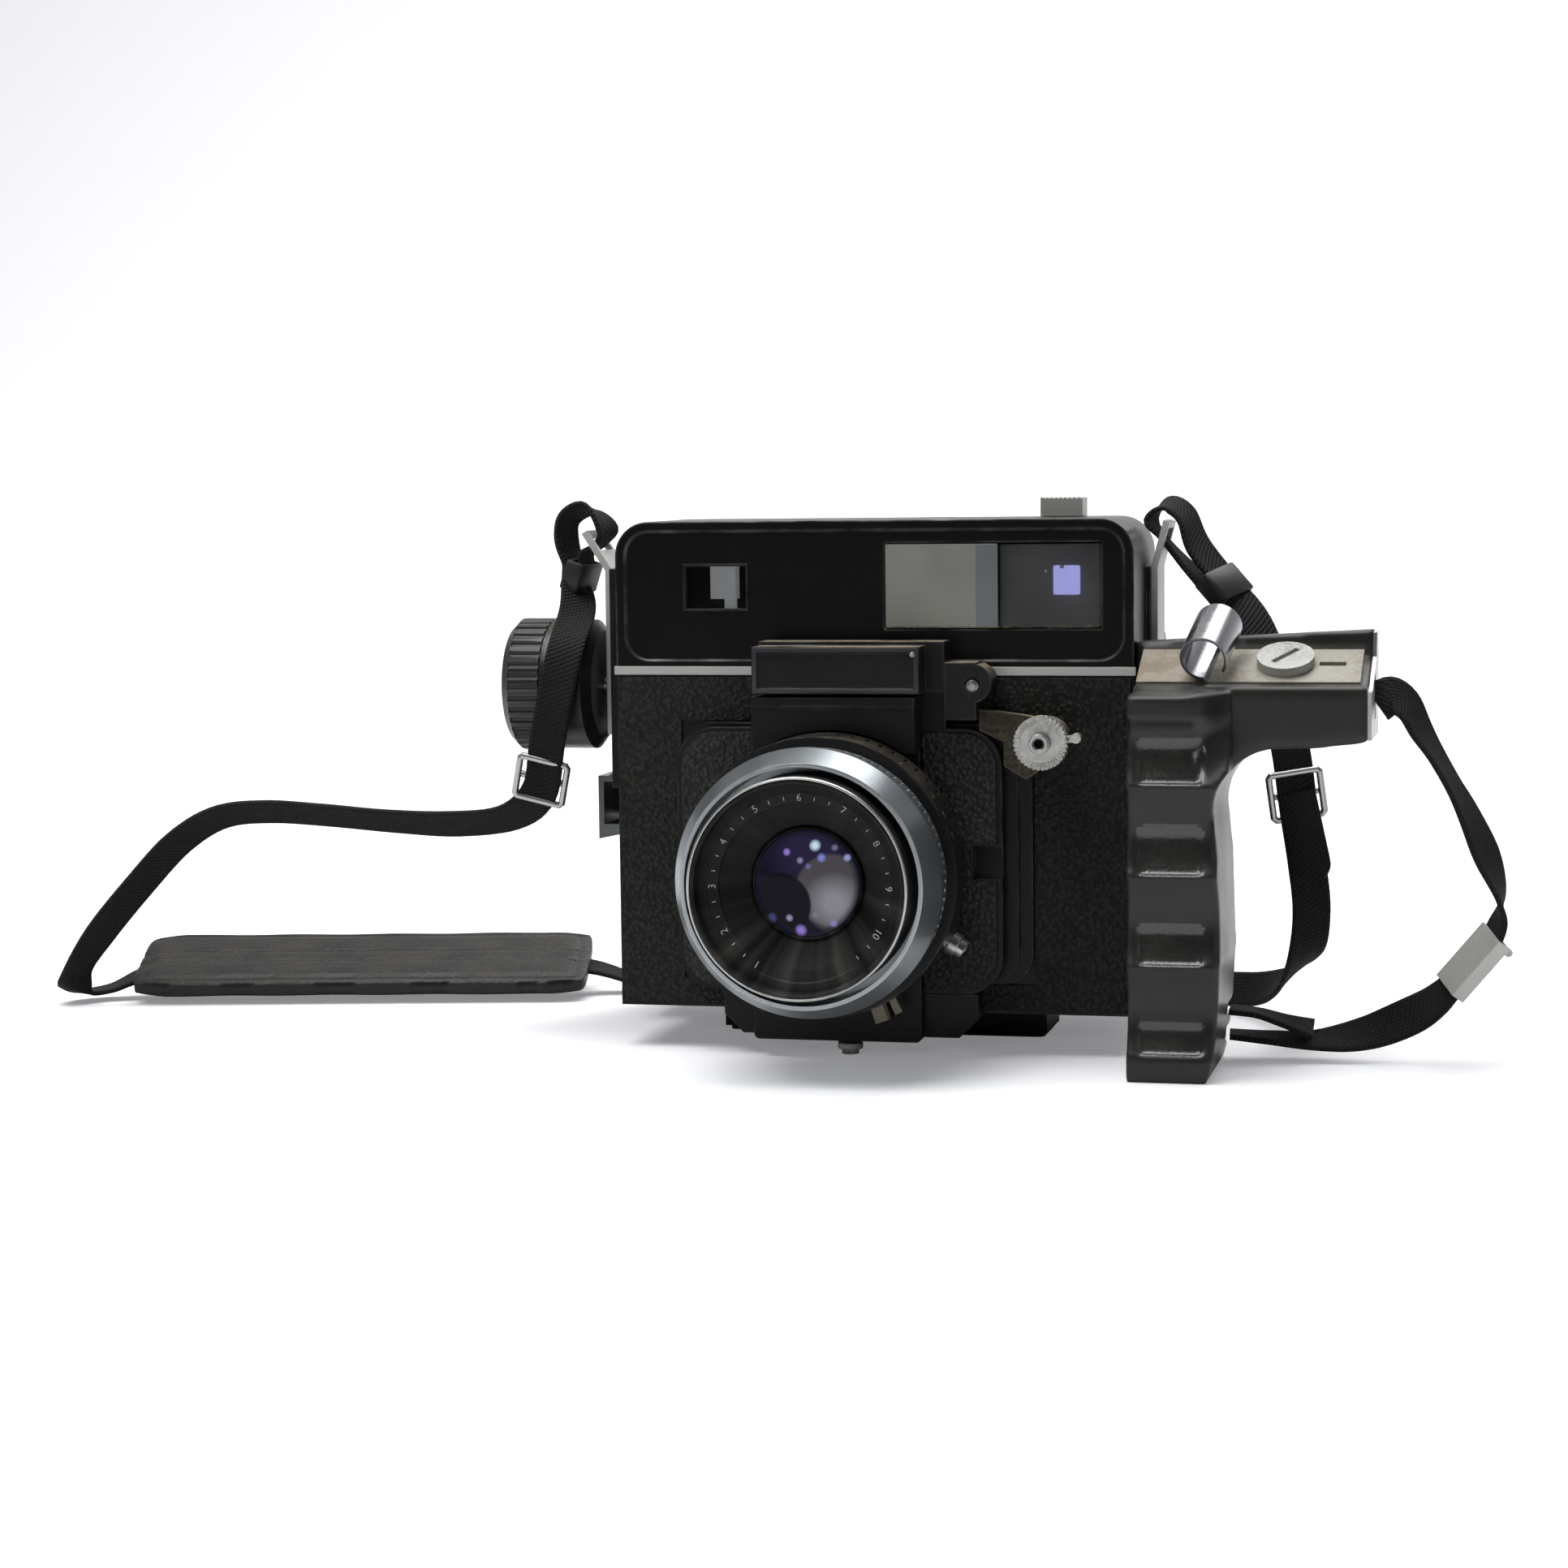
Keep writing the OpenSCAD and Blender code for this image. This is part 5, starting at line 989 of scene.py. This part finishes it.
def build_windows():
    window_left, band_left, mask_left, window_right = 11.7, 35.2, 40.9, 67.1
    bead = frame_mesh((-42, -25.8), (SEAM_Z + 15.7, SEAM_Z + 26.7), FRONT_Y + 0.6, 0.8, 0.35)
    add_piece("rangefinder_window_bead", bead, "black_casting", "camera")
    # small violet mirror on the front of the beam splitter, glowing with painted light, with a painted glint
    # beside it and one on its edge
    mirror = rounded_panel((54.9, 61.8), (119.5, 127), FRONT_Y + 3.2, 0.5)
    add_piece("violet_mirror_painted_glow", mirror, "violet_mirror_painted_glow", "camera")
    for number, (x, z, wide) in enumerate(((52.6, 125.2, 0.7), (56.6, 126.2, 1.1)), 1):
        glint = rounded_panel((x, x + wide), (z, z + 0.8), FRONT_Y + 3.15, 0.3, 0.04)
        add_piece(f"finder_painted_glint_{number}", glint, "white_print_and_glint", "camera")
    border = frame_mesh((-18.6, 22.2), (96.5, 105.7), FRONT_Y - 17.95, 1.3, 0.15)
    add_piece("hood_border", border, "hood_border", "lens_standard")
    band = rounded_panel((band_left, mask_left), LONG_WINDOW_Z, FRONT_Y + 0.34, 0.2, 0.05)
    add_piece("window_side_band", band, "frosted_side", "camera")
    mask = rounded_panel((mask_left, window_right), LONG_WINDOW_Z, FRONT_Y + 4.2, 0.4)
    add_piece("finder_mask", mask, "half_mirror", "camera")
    # dust that has gathered along the lower edge of the long window
    rng = random.Random(7)
    bm = bmesh.new()
    for _ in range(260):
        x = rng.uniform(window_left, window_right)
        z = SEAM_Z + 10.7 + abs(rng.gauss(0, 0.22))
        size = rng.uniform(0.08, 0.3)
        spot = shift(x, FRONT_Y + 0.36, z) @ sized(size * rng.uniform(0.8, 2.4), 0.1, size)
        bmesh.ops.create_icosphere(bm, subdivisions=1, radius=0.7, matrix=spot)
    add_piece("window_dust", mesh_of(bm), "yellow_dust", "camera")


def build_film_back():
    """Pebbled panel with its four screws on the back of the film back."""
    shell = nodes["film_back"]
    corners = [shell.matrix_world @ Vector(c) / MM for c in shell.bound_box]
    low = [min(c[k] for c in corners) for k in range(3)]
    high = [max(c[k] for c in corners) for k in range(3)]
    margin, panel_top, inset = 6, 86, 5
    x, z = (low[0] + margin, high[0] - margin), (low[2] + margin, panel_top)
    panel = rounded_panel(x, z, high[1] - 0.1, 4, 0.6)
    add_piece("film_back_covering", panel, "leatherette", "film_back")
    left, right, foot, top = x[0] + inset, x[1] - inset, z[0] + inset, z[1] - inset
    for k, (px, pz) in enumerate(((left, foot), (right, foot), (left, top), (right, top))):
        place_screw(f"film_back_screw_{k + 1}", (px, high[1] + 0.45, pz), 1.6, 20 + 50 * k, "steel",
                    "film_back", 180)


# Grip

def smooth_step(value, low, high):
    u = min(1.0, max(0.0, (value - low) / (high - low)))
    return u * u * (3 - 2 * u)


def raise_shoulder(mesh):
    """Carry the grip's front up to the lip of the arm, and run its right edge into the arm in one curve."""
    low, high, front, arm = 87.6, 96.5, -71.0, -57.0
    bm = bmesh.new()
    bm.from_mesh(mesh)
    bm.normal_update()
    for vertex in bm.verts:
        x, y, z = (c / MM for c in vertex.co)
        along = (y - front) / (arm - front)
        slope = low + (high - low) * along
        if -0.05 < along < 1 and abs(z - slope) < 1.6 and z > low - 1:
            y = front + (arm - front) * smooth_step(along, 0.74, 1)
            z = max(z, low + (high - low - 0.2) * min(1, max(0, along) / 0.78))
        if y < arm and z > 70:
            hollow = smooth_step(z, 72, 88) * smooth_step(x, 93, 104)
            y = arm + (y - arm) * (1 - 0.97 * hollow)
        vertex.co = (x * MM, y * MM, z * MM)
    near = [v for v in bm.verts if v.co.z > 0.08 and v.co.y < -0.0565]
    for _ in range(8):
        bmesh.ops.smooth_vert(bm, verts=near, factor=0.5, use_axis_x=True, use_axis_y=True, use_axis_z=True)
    bm.to_mesh(mesh)
    bm.free()


def remeshed(node):
    """A copy of a node's shape as one even, slightly softened mesh, in the scene's frame."""
    source = linked("remesh_source", node.data.copy())
    source.matrix_world = node.matrix_world.copy()
    remesh = source.modifiers.new("remesh", "REMESH")
    remesh.mode = "VOXEL"
    remesh.voxel_size = 0.85 * MM
    soften = source.modifiers.new("soften", "SMOOTH")
    soften.factor = 0.5
    soften.iterations = 6
    bpy.context.view_layer.update()
    shape = source.evaluated_get(bpy.context.evaluated_depsgraph_get())
    mesh = bpy.data.meshes.new_from_object(shape)
    mesh.transform(source.matrix_world)
    bpy.data.objects.remove(source)
    return mesh


def build_grip():
    """The grip as one soft moulding with four glossy finger pads let in."""
    mesh = remeshed(nodes["grip_shell"])
    raise_shoulder(mesh)
    mesh.materials.clear()
    mesh.materials.append(finishes["grip_plastic"])
    mesh.materials.append(finishes["grip_gloss"])
    first, pitch, dish = 6.4, 22.4, 0.9
    pads = [(first + pitch * i, first + pitch * i + tall) for i, tall in enumerate((9.5, 11.5, 13.5, 12.8))]
    deep = {}
    for vertex in mesh.vertices:
        x, y, z = (c / MM for c in vertex.co)
        if y > -56 or vertex.normal.y > -0.25:
            continue
        for low, high in pads:
            inside = smooth_step(x, 79.9, 82) * (1 - smooth_step(x, 95.4, 97.6))
            inside *= smooth_step(z, low, low + 1.7) * (1 - smooth_step(z, high - 4.5, high))
            if inside > 0:
                deep[vertex.index] = inside
    for index, inside in deep.items():
        vertex = mesh.vertices[index]
        vertex.co -= vertex.normal * dish * inside * MM
    for polygon in mesh.polygons:
        inside = sum(deep.get(i, 0.0) for i in polygon.vertices) / len(polygon.vertices)
        polygon.material_index = 1 if inside > 0.12 else 0
    mesh.polygons.foreach_set("use_smooth", [True] * len(mesh.polygons))
    grip = linked("grip_moulded", mesh)
    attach(grip, "camera")
    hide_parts("grip_shell")


place_camera()
build_stage()
build_finishes()
paint_nodes()
build_straps()
build_lens()
build_marks()
build_hardware()
build_windows()
build_grip()
build_film_back()

bpy.context.scene.view_settings.view_transform = "Standard"
bpy.context.scene.view_settings.look = "None"
bpy.context.view_layer.update()
